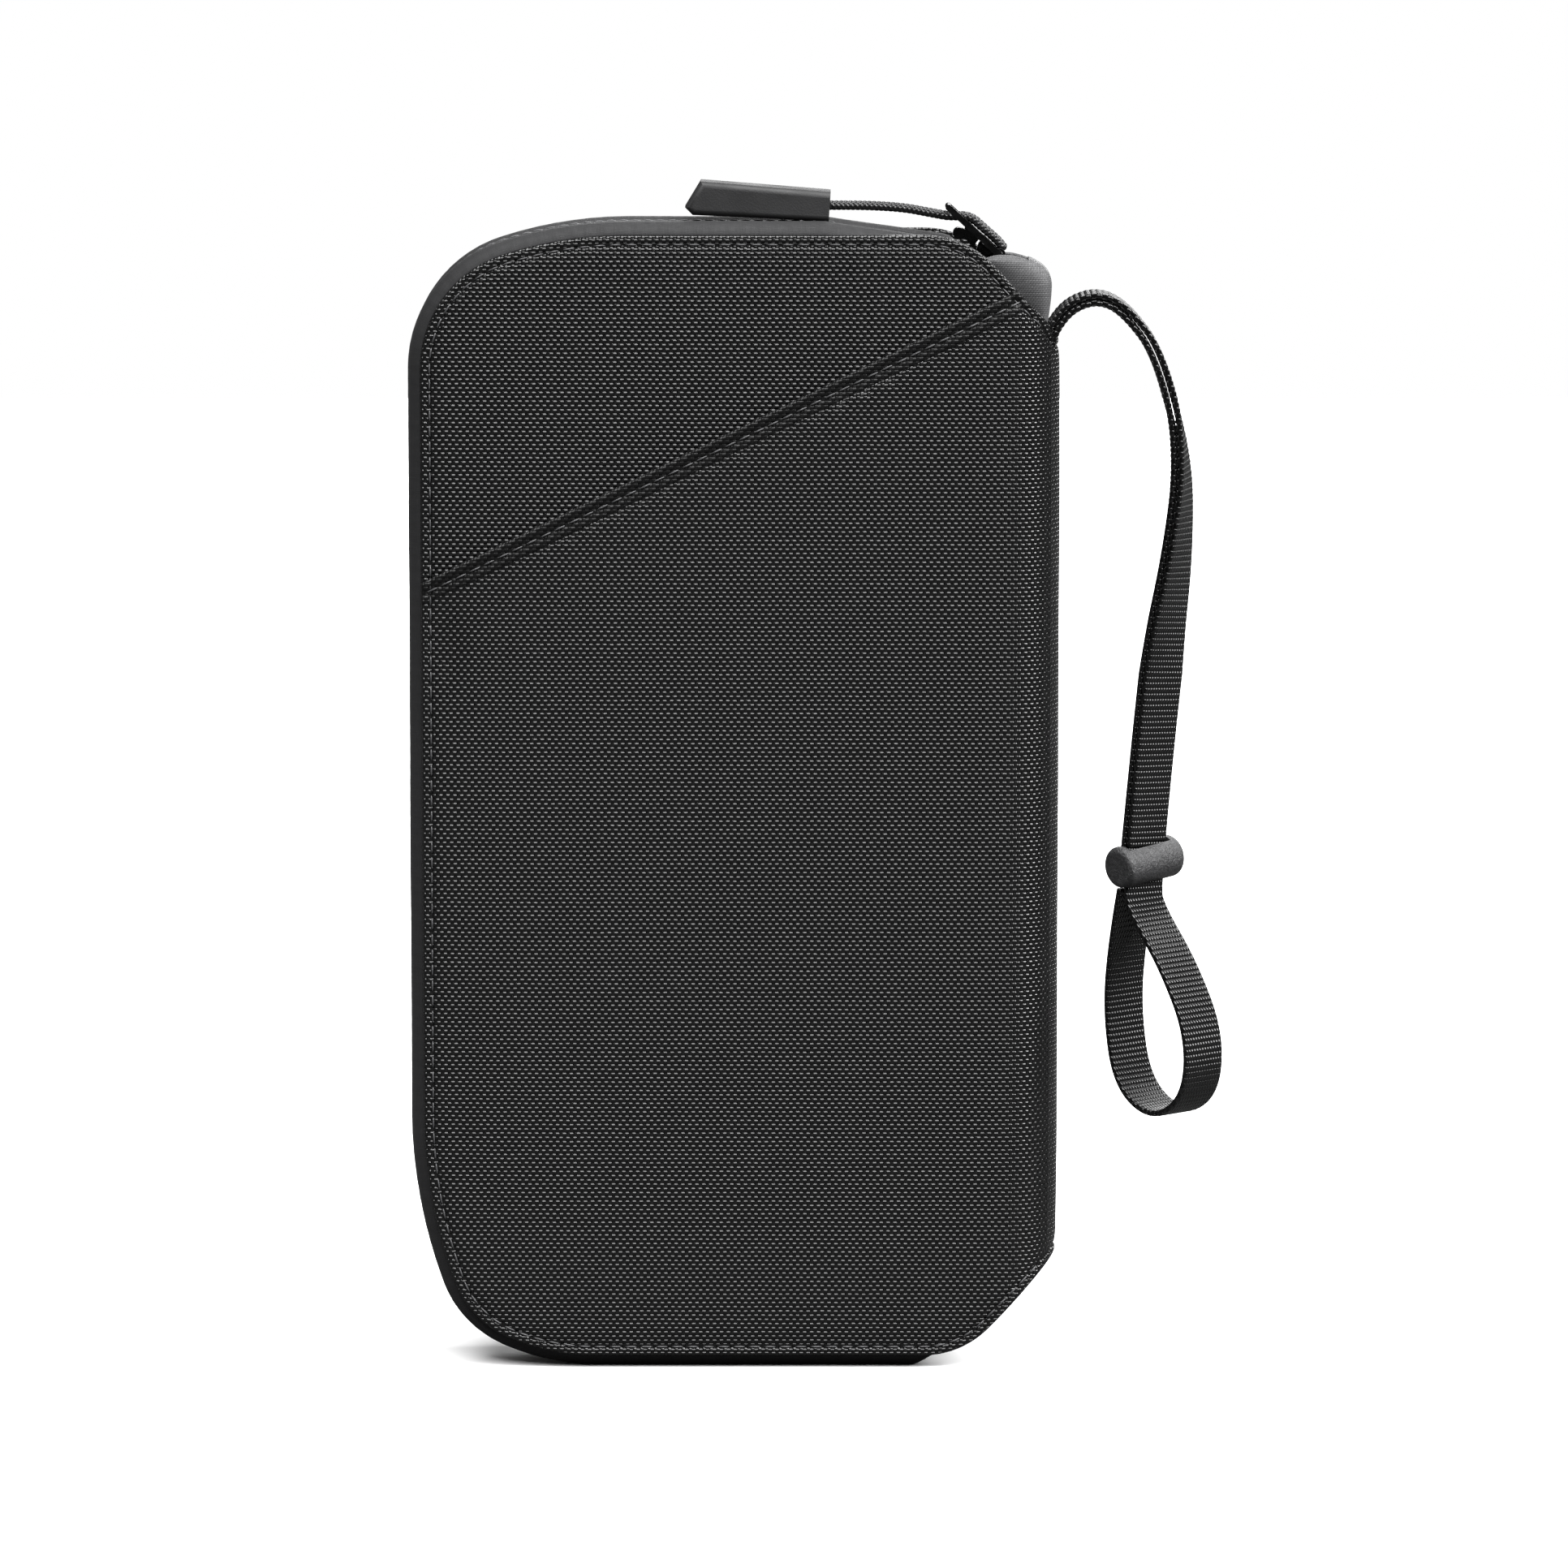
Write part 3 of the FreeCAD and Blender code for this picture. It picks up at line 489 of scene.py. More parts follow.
STITCH_PITCH = 3.05 * MM
STITCH_LENGTH = 2.2 * MM
STITCH_RADIUS = 0.19 * MM
STITCH_BOW = 0.16 * MM       # how far a stitch's middle stands up
STITCH_RINGS = 6
THREAD_SIDES = 6
SEAM_STOP = 8.5 * MM         # where the covers' edge seams end, before the spine's middle


def stitched(name, line, outward, thread, pitch, body=None):
    """Stitches along a 3-D line, whose outward directions are given point by point."""
    along = lengths_along(line)
    count = int(along[-1] / pitch)
    points, faces = [], []
    for k in range(count):
        base = len(points)
        centre = (k + 0.5) * along[-1] / count
        at = np.linspace(centre - STITCH_LENGTH / 2, centre + STITCH_LENGTH / 2, STITCH_RINGS)
        rows = points_at(line, along, at)
        out = points_at(outward, along, centre)
        out /= np.linalg.norm(out)
        way = rows[-1] - rows[0]
        side = np.cross(out, way / np.linalg.norm(way))
        for row, share in zip(rows, np.linspace(0, 1, STITCH_RINGS)):
            swell = math.sin(math.pi * share)
            fat = STITCH_RADIUS * (0.45 + 0.55 * abs(swell) ** 0.5)
            for j in range(THREAD_SIDES):
                a = 2 * math.pi * j / THREAD_SIDES
                rim = (out * math.cos(a) + side * math.sin(a)) * fat
                points.append(row + out * STITCH_BOW * swell + rim)
        faces += turned(grid_faces(STITCH_RINGS, THREAD_SIDES, True, base))
        faces.append(range(base, base + THREAD_SIDES))
        faces.append(range(len(points) - 1, len(points) - 1 - THREAD_SIDES, -1))
    return finish_piece(new_piece(name, points, faces), thread, (), body)


def stitch_row(name, line, level, side, thread):
    """Stitches along an (s, z) line on a cover's outer cloth."""
    on = place(line, level, side)
    out = place(line, level + 1 * MM, side) - on
    fold(stitched(name, on, out, thread, STITCH_PITCH))


def make_edge_stitches(thread):
    for name, border, side in (
        ("front_edge_stitches", FRONT_BORDER, -1), ("back_edge_stitches", BACK_BORDER, 1),
    ):
        line = offset(border, STITCH_INSET)
        line = resample(line[line[:, 0] < SPINE_MID - SEAM_STOP], 1600)
        level = cover_height(line, np.full(len(line), STITCH_INSET), side)
        if side < 0:
            level = level - SKIN * (under_hem(line, 0.0) < 0)
        stitch_row(name, line, level, side, thread)


# ---- zip band, coils and tapes
BAND_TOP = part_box("back_zip_tape")[1].z - PANEL_TOP          # crown beyond the panel's edge
BAND_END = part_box("back_zip_tape")[1].x
BAND_TUCK = 0.75             # share of its height that the band loses at its ends
TUCK_RUN = 5 * MM
BAND_POINTS = 760
PUCKER = 0.05 * MM           # by the stitches of the seam to the cover
BAND_WAVE = 0.12 * MM
KNEE_X = 18 * MM
FOOT_KNEE_X = 36 * MM
RUN_SLOPE = math.radians(16)
SHOULDER_SLOPE = math.radians(8.3)
FOOT_SLOPE = math.radians(28)
TAPE_SEAM_Y = 2.6 * MM
TAPE_SEAM_RISE = 0.73
# (distance from the middle, share of the crown's rise, share of the run's extra fall).
BAND_SECTION = (
    (8.2, 0.72, 0.0), (7.3, 0.93, 0.0), (6.3, 1.0, 0.0), (5.5, 0.97, 0.1), (4.9, 0.87, 0.5),
    (4.4, 0.77, 0.9), (3.9, 0.76, 1.0), (2.9, 0.76, 1.0), (2.6, 0.71, 1.0), (2.3, 0.76, 1.0),
    (1.2, 0.77, 1.0), (0.65, 0.75, 1.0), (0.38, 0.66, 1.0), (0.35, 0.52, 1.0),
    (0.6, 0.42, 1.0), (2.5, 0.42, 1.0), (4.4, 0.44, 1.0), (5.3, 0.62, 0.1), (6.3, 0.68, 0.0),
    (7.4, 0.58, 0.0),
)


def band_base(loop):
    """Panel edge that the band follows: along the top from its end, round the left, to the foot."""
    top = loop[:, 1].max()
    foot = loop[:, 1].min()
    left = [tuple(p) for p in loop if p[0] < KNEE_X]
    start = max(range(len(left)), key=lambda k: left[k][0] + (left[k][1] > top - 0.1 * MM))
    left = left[start:] + left[:start]
    run = [(BAND_END, top), (KNEE_X, top)] + left + [(FOOT_KNEE_X, foot), (BAND_END, foot)]
    return resample(run, BAND_POINTS)


def ease(x, width=2.5 * MM):
    """x where it is positive and 0 where it isn't, with a soft corner."""
    return (np.sqrt(x * x + width * width) + x) / 2 - width / 2 * np.exp(-np.abs(x) / width)


def band_line(base, off, extra):
    """Panel edge moved out by off, with the falls of both ends towards the spine."""
    line = base - inward(base) * np.reshape(off, (-1, 1))
    upper = base[:, 1] > PANEL_TOP / 2
    slope = math.tan(SHOULDER_SLOPE) * (1 - extra) + math.tan(RUN_SLOPE) * extra
    fall = np.where(upper, -slope * ease(base[:, 0] - KNEE_X), 0)
    rise = np.where(upper, 0, math.tan(FOOT_SLOPE) * ease(base[:, 0] - FOOT_KNEE_X))
    line[:, 1] += fall + rise
    return line


def band_rows(root):
    """(distance from the middle, offset, extra fall) round the whole section, from the seam."""
    rows = [(root - 0.02 * MM, -0.55 * MM, 0), (root - 0.08 * MM, 0.15 * MM, 0)]
    rows += [(root - 0.45 * MM, 0.95 * MM, 0)]
    rows += [(y * MM, BAND_TOP * rise, extra) for y, rise, extra in BAND_SECTION]
    rows += [(root - 0.95 * MM, 0.1 * MM, 0), (root - 0.8 * MM, -0.55 * MM, 0)]
    return rows


def make_band(cover, side, base, tape, thread):
    """One cover's half of the band, with the seam that holds the coil under it."""
    body = cover + "_cover"
    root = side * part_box(cover + "_panel")[0 if side > 0 else 1].y
    along = lengths_along(base)
    rows = band_rows(root)
    full = 1 - BAND_TUCK * smooth_step((base[:, 0] - BAND_END + TUCK_RUN) / TUCK_RUN)
    points, uv = [], []
    for (y, off, extra), across in zip(rows, lengths_along(np.array(rows)[:, :2])):
        near_seam = math.exp(-abs(root - y) / (1.6 * MM))
        pucker = np.sin(along * 2 * math.pi / STITCH_PITCH) * PUCKER * near_seam
        pucker += BAND_WAVE * waves(along, y, 21) * (off > 0)
        line = band_line(base, (off + pucker) * full, extra)
        points.extend(at_depth(line, side * y))
        uv.extend(np.stack([along, across + 0 * along], 1))
    faces = tube_faces(len(rows), len(base))
    if side > 0:
        faces = [f[::-1] for f in faces]
    band = new_piece(cover + "_band", points, faces, uv)
    finish_piece(band, tape, [cover + "_zip_tape"], body)
    on = at_depth(band_line(base, BAND_TOP * TAPE_SEAM_RISE, 1.0), side * TAPE_SEAM_Y)
    outward = at_depth(-inward(base), 0.0)
    stitched(cover + "_band_stitches", on, outward, thread, 2.4 * MM, body)


COIL_PITCH = 1.25 * MM
COIL_RADIUS = 0.62 * MM
COIL_MIDDLE = 1.22 * MM      # from the pouch's middle plane
COIL_HALF_WIDE, COIL_HALF_DEEP = 0.72 * MM, 0.42 * MM
COIL_WIRE = 0.27 * MM
COIL_START = 1.6 * MM
TURN_POINTS = 12             # points in each turn of the coil


def make_coil(cover, side, base, nylon):
    """The sewn coil: one wire wound under the tape's inner edge."""
    middle = band_line(base, BAND_TOP * 0.42 - COIL_RADIUS - 0.12 * MM, 1.0)
    along = lengths_along(middle)
    length = along[-1] - COIL_START
    count = int(length / COIL_PITCH) * TURN_POINTS
    at = COIL_START + np.linspace(0, length, count)
    turn = np.linspace(0, count / TURN_POINTS * 2 * math.pi, count)
    lift = COIL_HALF_DEEP * np.sin(turn)
    flat = points_at(middle, along, at) - points_at(inward(middle), along, at) * lift[:, None]
    line = at_depth(flat, side * (COIL_MIDDLE + COIL_HALF_WIDE * np.cos(turn)))
    coil = tube_mesh(cover + "_coil", line, COIL_WIRE, THREAD_SIDES)
    finish_piece(coil, nylon, [cover + "_zip_coil"], cover + "_cover")


def frames_along(line, wide):
    """Unit face normals and widths along a 3-D line, the widths made square to it."""
    tangent = unit(np.gradient(line, axis=0))
    wide = unit(wide - tangent * (wide * tangent).sum(1)[:, None])
    return np.cross(wide, tangent), wide


def tube_mesh(name, line, radius, sides, relief=None):
    """A closed round tube. relief(turn, along) gives each point's share of the radius."""
    reference = np.tile((0.0, 1.0, 0.0), (len(line), 1))
    face, wide = frames_along(line, reference + np.array([0.013, 0, 0.017]))
    along = lengths_along(line)
    points, uv = [], []
    for j in range(sides):
        turn = 2 * math.pi * j / sides
        share = np.ones(len(line)) if relief is None else relief(turn, along)
        out = face * math.cos(turn) + wide * math.sin(turn)
        points.extend(line + out * (radius * share)[:, None])
        uv.extend(np.stack([along, np.full(len(line), radius * turn)], 1))
    return new_piece(name, points, tube_faces(sides, len(line)), uv)


# ---- garage and end tab
# Ridge of the folded cloth end over the slider, from its mouth to where it meets the spine.
GARAGE_RIDGE = (
    (49.4, 219.3), (51.5, 219.95), (54.6, 219.95), (57.0, 219.4), (58.9, 218.65), (60.6, 217.6),
    (61.8, 216.1), (62.25, 214.3), (62.1, 211.3), (61.7, 208.2), (61.2, 205.2),
)
GARAGE_HALF = 5.0 * MM
GARAGE_OPEN_X = 57.6 * MM    # the mouth over the slider reaches this far
MOUTH_SHARE = 0.75           # and is this share of the hood's half width


def ridge_line(count):
    """A smooth line through the ridge's points."""
    smooth = resample(resample(np.array(GARAGE_RIDGE) * MM, count), count)
    for _ in range(10):
        smooth[1:-1] = (smooth[:-2] + 2 * smooth[1:-1] + smooth[2:]) / 4
    return smooth


# (share of the way down to the tucked edge, y as a share of the half width) over half the hood.
HOOD_SECTION = (
    (1.0, 0.90), (0.86, 0.95), (0.7, 1.0), (0.55, 1.03), (0.42, 1.03), (0.3, 1.0), (0.21, 0.95),
    (0.14, 0.89), (0.085, 0.81), (0.045, 0.72), (0.018, 0.62), (0.004, 0.5), (0.0, 0.36), (0.0, 0.18),
)
HOOD_TUCK = 2.4 * MM         # how far the hood's edge lies inside the chamfer


def make_garage(fine):
    count = 90
    ridge = ridge_line(count)
    corner = FRONT_BORDER[0] - (SPINE_MID - spine_x(SPINE_MID), 0)
    chamfer_z = corner[1] + SLIT_DEPTH + (corner[0] - ridge[:, 0]) * CHAMFER_SLOPE
    depth = (ridge[:, 1] - chamfer_z) * math.cos(CHAMFER) + HOOD_TUCK
    down = -np.array([math.sin(CHAMFER), math.cos(CHAMFER)])
    section = list(HOOD_SECTION) + [(0.0, 0.0)] + [(q, -y) for q, y in HOOD_SECTION[::-1]]
    points, uv = [], []
    for q, share in section:
        swell = 1 + 0.012 * np.sin(np.linspace(0, 11, count) + q * 3)
        x = ridge[:, 0] + down[0] * depth * q
        z = ridge[:, 1] + down[1] * depth * q
        points.extend(np.stack([x, -share * GARAGE_HALF * swell, z], 1))
        over = (1 - abs(share)) * GARAGE_HALF if q == 0 else 0.0
        uv.extend(np.stack([x, z + over], 1))

    def in_mouth(face):
        row, i = divmod(face[0], count)
        middle = max(abs(section[row][1]), abs(section[row + 1][1])) < MOUTH_SHARE
        return middle and ridge[i, 0] < GARAGE_OPEN_X

    faces = [f for f in grid_faces(len(section), count) if not in_mouth(f)]
    hood = new_piece("garage_cloth", points, faces, uv)
    thicken(hood, 0.6 * MM, -1)
    finish_piece(hood, fine, ["zip_garage"], "back_cover")


def closed_inward(loop):
    """Inward normals of a closed anticlockwise loop, evened over each point's neighbours."""
    tangent = np.roll(loop, -1, axis=0) - np.roll(loop, 1, axis=0)
    total = unit(sum(np.roll(tangent, k, axis=0) for k in (-1, 0, 1)))
    return np.stack([-total[:, 1], total[:, 0]], 1)


def slab(name, loop, y0, y1, step, soft=0.5, puff=0.0, spacing=1.2 * MM):
    """A closed soft layer between y0 and y1: rounded edges, and faces that swell by puff."""
    loop = np.vstack([loop, loop[:1]])
    loop = resample(loop, max(24, int(lengths_along(loop)[-1] / spacing)))[:-1]
    normal = closed_inward(loop)
    thick = abs(y1 - y0)
    middle = (y0 + y1) / 2
    soft = soft * thick
    rings = ((soft * 1.6, 0.5), (soft * 0.5, 0.43), (0.0, 0.2), (0.0, -0.2), (soft * 0.5, -0.43),
             (soft * 1.6, -0.5))
    points, uv = [], []
    for d, share in rings:
        ring = loop + normal * d
        points.extend(at_depth(ring, middle + share * thick))
        uv.extend(ring)
    faces = turned(grid_faces(len(rings), len(loop), True))
    inner = loop + normal * rings[0][0]
    flat, triangles = fill(inner, step, False)
    d = distance_to(np.vstack([inner, inner[:1]]), flat)
    rise = puff * (1 - np.exp(-d / (5 * MM)))
    for share in (0.5, -0.5):
        base = len(points)
        y = middle + share * thick + math.copysign(1, share) * rise
        points.extend(at_depth(flat, y))
        uv.extend(flat)
        order = 1 if share < 0 else -1
        faces += [tuple(base + k for k in f)[::order] for f in triangles]
    piece = new_piece(name, points, faces, uv)
    weld(piece, True)
    return piece


def make_end_tab(fine):
    low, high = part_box("zip_end_tab")
    loop = flat_outline("zip_end_tab", low.y)
    tab = slab("end_tab_cloth", loop, low.y, high.y, 1.2 * MM, 0.16, 0.3 * MM, 0.7 * MM)
    finish_piece(tab, fine, ["zip_end_tab"], "back_cover")


# ---- inside
LINER_RADIUS = 9.45 * MM
LINER_EASE = (46 * MM, 52.5 * MM)     # where the lining eases from the cover to the spine
LINER_INSET = 4.2 * MM       # how far the lining ends from the spine's upper and lower edge


def make_lining(name, cloth, side, nodes):
    """Lining of one cover, on past the fold and round its half of the spine."""
    node = nodes[0]
    low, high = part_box(node)
    loop = flat_outline(node, low.y)
    depth = abs(low.y + high.y) / 2
    right = loop[:, 0].max()
    keep = loop[loop[:, 0] < LINER_EASE[0] - 2 * MM]
    start = np.argmax(keep[:, 0] + (keep[:, 1] > PANEL_TOP / 2))
    keep = np.roll(keep, -start, axis=0)
    spine_s = np.linspace(LINER_EASE[0], SPINE_MID, 40)
    corner = FRONT_BORDER[np.argmin(np.abs(FRONT_BORDER[:200, 0] - right))]
    climb = (spine_x(np.maximum(spine_s, HINGE_X)) - HINGE_X + np.minimum(spine_s - HINGE_X, 0))
    upper = corner[1] - LINER_INSET - climb * CHAMFER_SLOPE
    lower = PANEL_TOP + PANEL_FOOT - upper
    outline = np.vstack([
        np.stack([spine_s, upper], 1)[::-1], resample(keep, 400), np.stack([spine_s, lower], 1)
    ])
    flat, triangles = fill(outline, 2.6 * MM)
    ease_in = smooth_step((flat[:, 0] - LINER_EASE[0]) / (LINER_EASE[1] - LINER_EASE[0]))
    level = (depth - SPINE_RADIUS) * (1 - ease_in) + (LINER_RADIUS - SPINE_RADIUS) * ease_in
    level = level + 0.12 * MM * waves(flat[:, 0], flat[:, 1], 31)
    faces = triangles if side > 0 else [f[::-1] for f in triangles]
    lining = new_piece(name, place(flat, level, side), faces, flat)
    thicken(lining, 0.42 * MM, 0)
    finish_piece(lining, cloth, nodes)
    fold(lining)


def make_boards(foam):
    for node in ("front_stiffener", "back_stiffener"):
        low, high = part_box(node)
        loop = flat_outline(node, low.y)
        board = slab(node + "_foam", loop, low.y + 0.1 * MM, high.y - 0.1 * MM, 8 * MM)
        finish_piece(board, foam, [node], NODE_BODY[node])


BINDING = 3.2 * MM           # height of the binding along a pocket's upper edge
BINDING_OUT = 0.28 * MM
BINDING_IN = 0.30 * MM
BINDING_OVER = 0.15 * MM
BINDING_SEAM = 0.72 * BINDING
AIR = 0.08 * MM              # between a pocket and the layer it lies on
PEN_FLARE = 0.06 * MM
PEN_RIB = 0.07 * MM
PEN_RIB_PITCH = 0.9 * MM
POCKETS = (
    "ticket_pocket", "passport_pocket", "card_panel",
    "card_slot_1", "card_slot_2", "card_slot_3", "card_slot_4",
)


def make_pockets(cloth, edging, thread):
    """Each pocket's cloth, the binding along its upper edge and the binding's seam."""
    for node in POCKETS:
        body = NODE_BODY[node]
        low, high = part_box(node)
        room = 1 if body == "front_cover" else -1
        loop = flat_outline(node, low.y)
        y0, y1 = (low.y, high.y - AIR) if room > 0 else (low.y + AIR, high.y)
        panel = slab(node + "_cloth", loop, y0, y1, 5 * MM)
        finish_piece(panel, cloth, [node], body)
        top = loop[loop[:, 1] > high.z - SAME_LEVEL]
        left, right = top[:, 0].min() + 0.2 * MM, top[:, 0].max() - 0.2 * MM
        foot, edge = high.z - BINDING, high.z + BINDING_OVER
        strip = np.array([(left, foot), (right, foot), (right, edge), (left, edge)])
        inner = y1 if room > 0 else y0
        y_in, y_out = inner + room * BINDING_OUT, inner - room * BINDING_IN
        y_low, y_high = sorted((y_in, y_out))
        binding = slab(node + "_binding", strip, y_low, y_high, 1.1 * MM, puff=0.05 * MM)
        finish_piece(binding, edging, (), body)
        x = np.linspace(left + 1 * MM, right - 1 * MM, 300)
        line = np.stack([x, high.z - BINDING_SEAM + 0 * x], 1)
        on = at_depth(line, y_in + room * 0.06 * MM)
        out = np.tile((0.0, room, 0.0), (300, 1))
        seam = stitched(node + "_stitches", on, out, thread, 2.6 * MM, body)


def make_pen_loop(elastic):
    """A ribbed elastic sleeve, a little wider at both ends."""
    low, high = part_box("pen_loop")
    centre = (low + high) / 2
    radius = (high.x - low.x) / 2 - 0.3 * MM
    rows, around = 120, 48
    up = np.repeat(np.linspace(0, high.z - low.z, rows), around)
    a = np.tile(np.arange(around) * 2 * math.pi / around, rows)
    flare = PEN_FLARE * np.cos(up / (high.z - low.z) * 2 * math.pi)
    r = radius + flare + PEN_RIB * np.sin(up / PEN_RIB_PITCH * 2 * math.pi)
    points = np.stack([centre.x + r * np.cos(a), centre.y + r * np.sin(a), low.z + up], 1)
    uv = np.stack([low.z + up, radius * a], 1)
    sleeve = new_piece("pen_loop_elastic", points, grid_faces(rows, around, True), uv)
    thicken(sleeve, 0.5 * MM, 0)
    finish_piece(sleeve, elastic, ["pen_loop"], "back_cover")


# ---- wrist strap
WEB_HALF = 5.0 * MM
WEB_THICK = 1.2 * MM
WEB_LIFT = 0.75 * MM
RIB_PITCH = 1.1 * MM
LEG_FOOT_X = 79.959 * MM     # where the legs end and the loop starts
LOOP_TWIST = math.radians(48)
TWIST_Z = (190 * MM, 137 * MM)
DOT_PITCH = 0.72 * MM        # from one short float to the next across the webbing's width
# Middle line of the doubled legs (x, z), out of the spine and down to the barrel.
LEG_ROUTE = (
    (0.0626, 0.2058), (0.0660, 0.2099), (0.0714, 0.2116), (0.0766, 0.2090), (0.0833, 0.2002),
    (0.0882, 0.1805), (0.0872, 0.1610), (0.084135, 0.1410), (0.079959, 0.0946),
)
# Inside the spine, on its way up to the slit.
INNER_START = ((0.0612, 0.1985), (0.0613, 0.2020))
# The open loop below the barrel, as (across, height) in the turned webbing's own plane.
LOOP_ROUTE = (
    (0.00075, 0.0946), (0.0019, 0.0905), (0.0110, 0.0805), (0.0186, 0.0674), (0.0176, 0.0550),
    (0.0085, 0.0496), (-0.0016, 0.0550), (-0.0046, 0.0692), (-0.0034, 0.0830), (-0.00075, 0.0946),
)


def smooth_line(name, points):
    """Points read from the smooth curve that has these points as its controls."""
    curve = bpy.data.curves.new(name, "CURVE")
    curve.dimensions = "3D"
    curve.resolution_u = 40
    spline = curve.splines.new("NURBS")
    spline.points.add(len(points) - 1)
    for control, point in zip(spline.points, points):
        control.co = (*point, 1)
    spline.order_u = 3
    spline.use_endpoint_u = True
    holder = bpy.data.objects.new(name, curve)
    mesh = bpy.data.meshes.new_from_object(holder)
    line = np.array([v.co for v in mesh.vertices])
    bpy.data.objects.remove(holder)
    bpy.data.curves.remove(curve)
    bpy.data.meshes.remove(mesh)
    return line


def twist_of(z):
    return LOOP_TWIST * np.clip((TWIST_Z[0] - z) / (TWIST_Z[0] - TWIST_Z[1]), 0, 1)


def wide_at(twist):
    """Directions across the webbing's width at these turns about its length."""
    return np.stack([-np.sin(twist), -np.cos(twist), 0 * twist], 1)


def leg_controls(lift):
    """The legs' route, moved by lift across the webbing's face."""
    route = np.array([(x, 0, z) for x, z in INNER_START + LEG_ROUTE])
    face, _ = frames_along(route, wide_at(twist_of(route[:, 2])))
    return route + face * lift


def loop_controls():
    across = np.array([math.cos(LOOP_TWIST), -math.sin(LOOP_TWIST), 0])
    foot = np.array([LEG_FOOT_X, 0, 0])
    return np.array([foot + across * u + np.array([0, 0, z]) for u, z in LOOP_ROUTE])


# (share of the half width, share of the half thickness) round the webbing's section.
WEB_SECTION = [(-0.9 + 0.15 * k, 1.0) for k in range(13)]
WEB_SECTION += [(0.965, 0.88), (1.0, 0.5), (1.0, -0.5), (0.965, -0.88)]
WEB_SECTION += [(-x, -y) for x, y in WEB_SECTION[:13]]
WEB_SECTION += [(-0.965, -0.88), (-1.0, -0.5), (-1.0, 0.5), (-0.965, 0.88)]


def sweep_webbing(name, line, wide, along, half, half_thick, rib, rib_share=0.95):
    """Webbing's section along a line. Ribs reach out to rib_share of its half width."""
    face, wide = frames_along(line, wide)
    points, uv = [], []
    for share_w, share_t in WEB_SECTION:
        raised = math.copysign(abs(share_w) <= rib_share, share_t) * rib
        thick = share_t * half_thick + raised
        points.extend(line + wide * (share_w * half) + face * thick[:, None])
        uv.extend(np.stack([along, np.full(len(line), share_w * WEB_HALF)], 1))
    return new_piece(name, points, turned(tube_faces(len(WEB_SECTION), len(line))), uv)


def ribs(along, height):
    return -height * np.cos(along * 2 * math.pi / RIB_PITCH)


def make_strap(cloth):
    legs = np.array([(x, 0, z) for x, z in LEG_ROUTE])
    way = legs[4] - legs[3]
    way = way / np.linalg.norm(way)
    outer_route = np.vstack([leg_controls(WEB_LIFT)[:-1], loop_controls()])
    parts = (
        ("strap_outer_webbing", outer_route, "object",
         ["strap_outer_arch", "strap_outer_leg", "strap_loop"], [NODES["barrel_slider"]]),
        ("strap_inner_webbing", leg_controls(-WEB_LIFT), "object",
         ["strap_inner_arch", "strap_inner_leg"], []),
    )
    for name, route, end, nodes, on_it in parts:
        line = smooth_line(name + "_line", route)
        length = lengths_along(line)[-1]
        line = resample(line, int(length / (RIB_PITCH / 4)))
        along = lengths_along(line)
        wide = wide_at(twist_of(line[:, 2]))
        strap = sweep_webbing(
            name, line, wide, along, WEB_HALF, WEB_THICK / 2, ribs(along, 0.06 * MM)
        )
        finish_piece(strap, cloth, nodes)
        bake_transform(strap)
        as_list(on_it)


def make_anchor(cloth):
    """The strap's sewn end, folded flat against the inside of the spine."""
    low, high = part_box("strap_anchor")
    z = np.linspace(low.z + 0.2 * MM, high.z - 0.2 * MM, 80)
    line = np.stack([np.full(80, (low.x + high.x) / 2), 0 * z, z], 1)
    anchor = sweep_webbing(
        "strap_anchor_fold", line, wide_at(0 * z), z, WEB_HALF * 0.98, 0.85 * MM,
        ribs(z, 0.05 * MM), 1.0,
    )
    finish_piece(anchor, cloth, ["strap_anchor"], "spine")


# ---- pull cord
CORD_RADIUS = 0.95 * MM
CORD_ROUTE = ((0.0188, 0.2292), (0.0305, 0.2293), (0.0405, 0.2274))
# Over the puller, as (reach from the pin, height above the puller).
WRAP_ROUTE = ((0.0123, -0.00125), (0.0093, 0.0016), (0.0060, 0.00162), (0.0034, 0.0017),
              (0.0013, 0.00165), (-0.0003, 0.0013))
PULLER_TILT = math.radians(42.7)
BRAID_STRANDS = 5
BRAID_PITCH = 4.6 * MM


def make_pull_cord(cloth):
    pin = np.array(JOINTS["puller_hinge"]["pos_m"])
    reach = np.array([-math.cos(PULLER_TILT), 0, math.sin(PULLER_TILT)])
    lift = np.array([math.sin(PULLER_TILT), 0, math.cos(PULLER_TILT)])
    route = [(x, 0, z) for x, z in CORD_ROUTE] + [pin + reach * t + lift * q for t, q in WRAP_ROUTE]
    line = smooth_line("pull_cord_line", route)
    length = lengths_along(line)[-1]
    line = resample(line, int(length / (0.09 * MM)))

    def braid(turn, along):
        """Crossing strands, closed by a melted round end over the puller."""
        spin = along * 2 * math.pi / BRAID_PITCH
        near_end = np.clip(1 - (along[-1] - along) / CORD_RADIUS, 0, 0.995)
        one = np.cos(BRAID_STRANDS * (turn + spin))
        other = np.cos(BRAID_STRANDS * (turn - spin))
        return (0.9 + 0.1 * np.maximum(one, other)) * np.sqrt(1 - near_end ** 2)

    cord = tube_mesh("pull_cord_braid", line, CORD_RADIUS, 44, braid)
    finish_piece(cord, cloth, ["pull_cord", "pull_cord_wrap"])
    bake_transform(cord)


# The pressed cover of the slider's lock, as (along the zip, out of it) from the puller's pin.
LOCK_OUTLINE = (
    (1.15, 0.2), (1.7, 0.75), (2.6, 1.05), (3.4, 1.4), (4.1, 1.55), (4.5, 1.15), (4.6, 0.2),
    (4.45, -0.9), (4.25, -1.85), (1.15, -1.85),
)
LOCK_HALF = 1.55 * MM


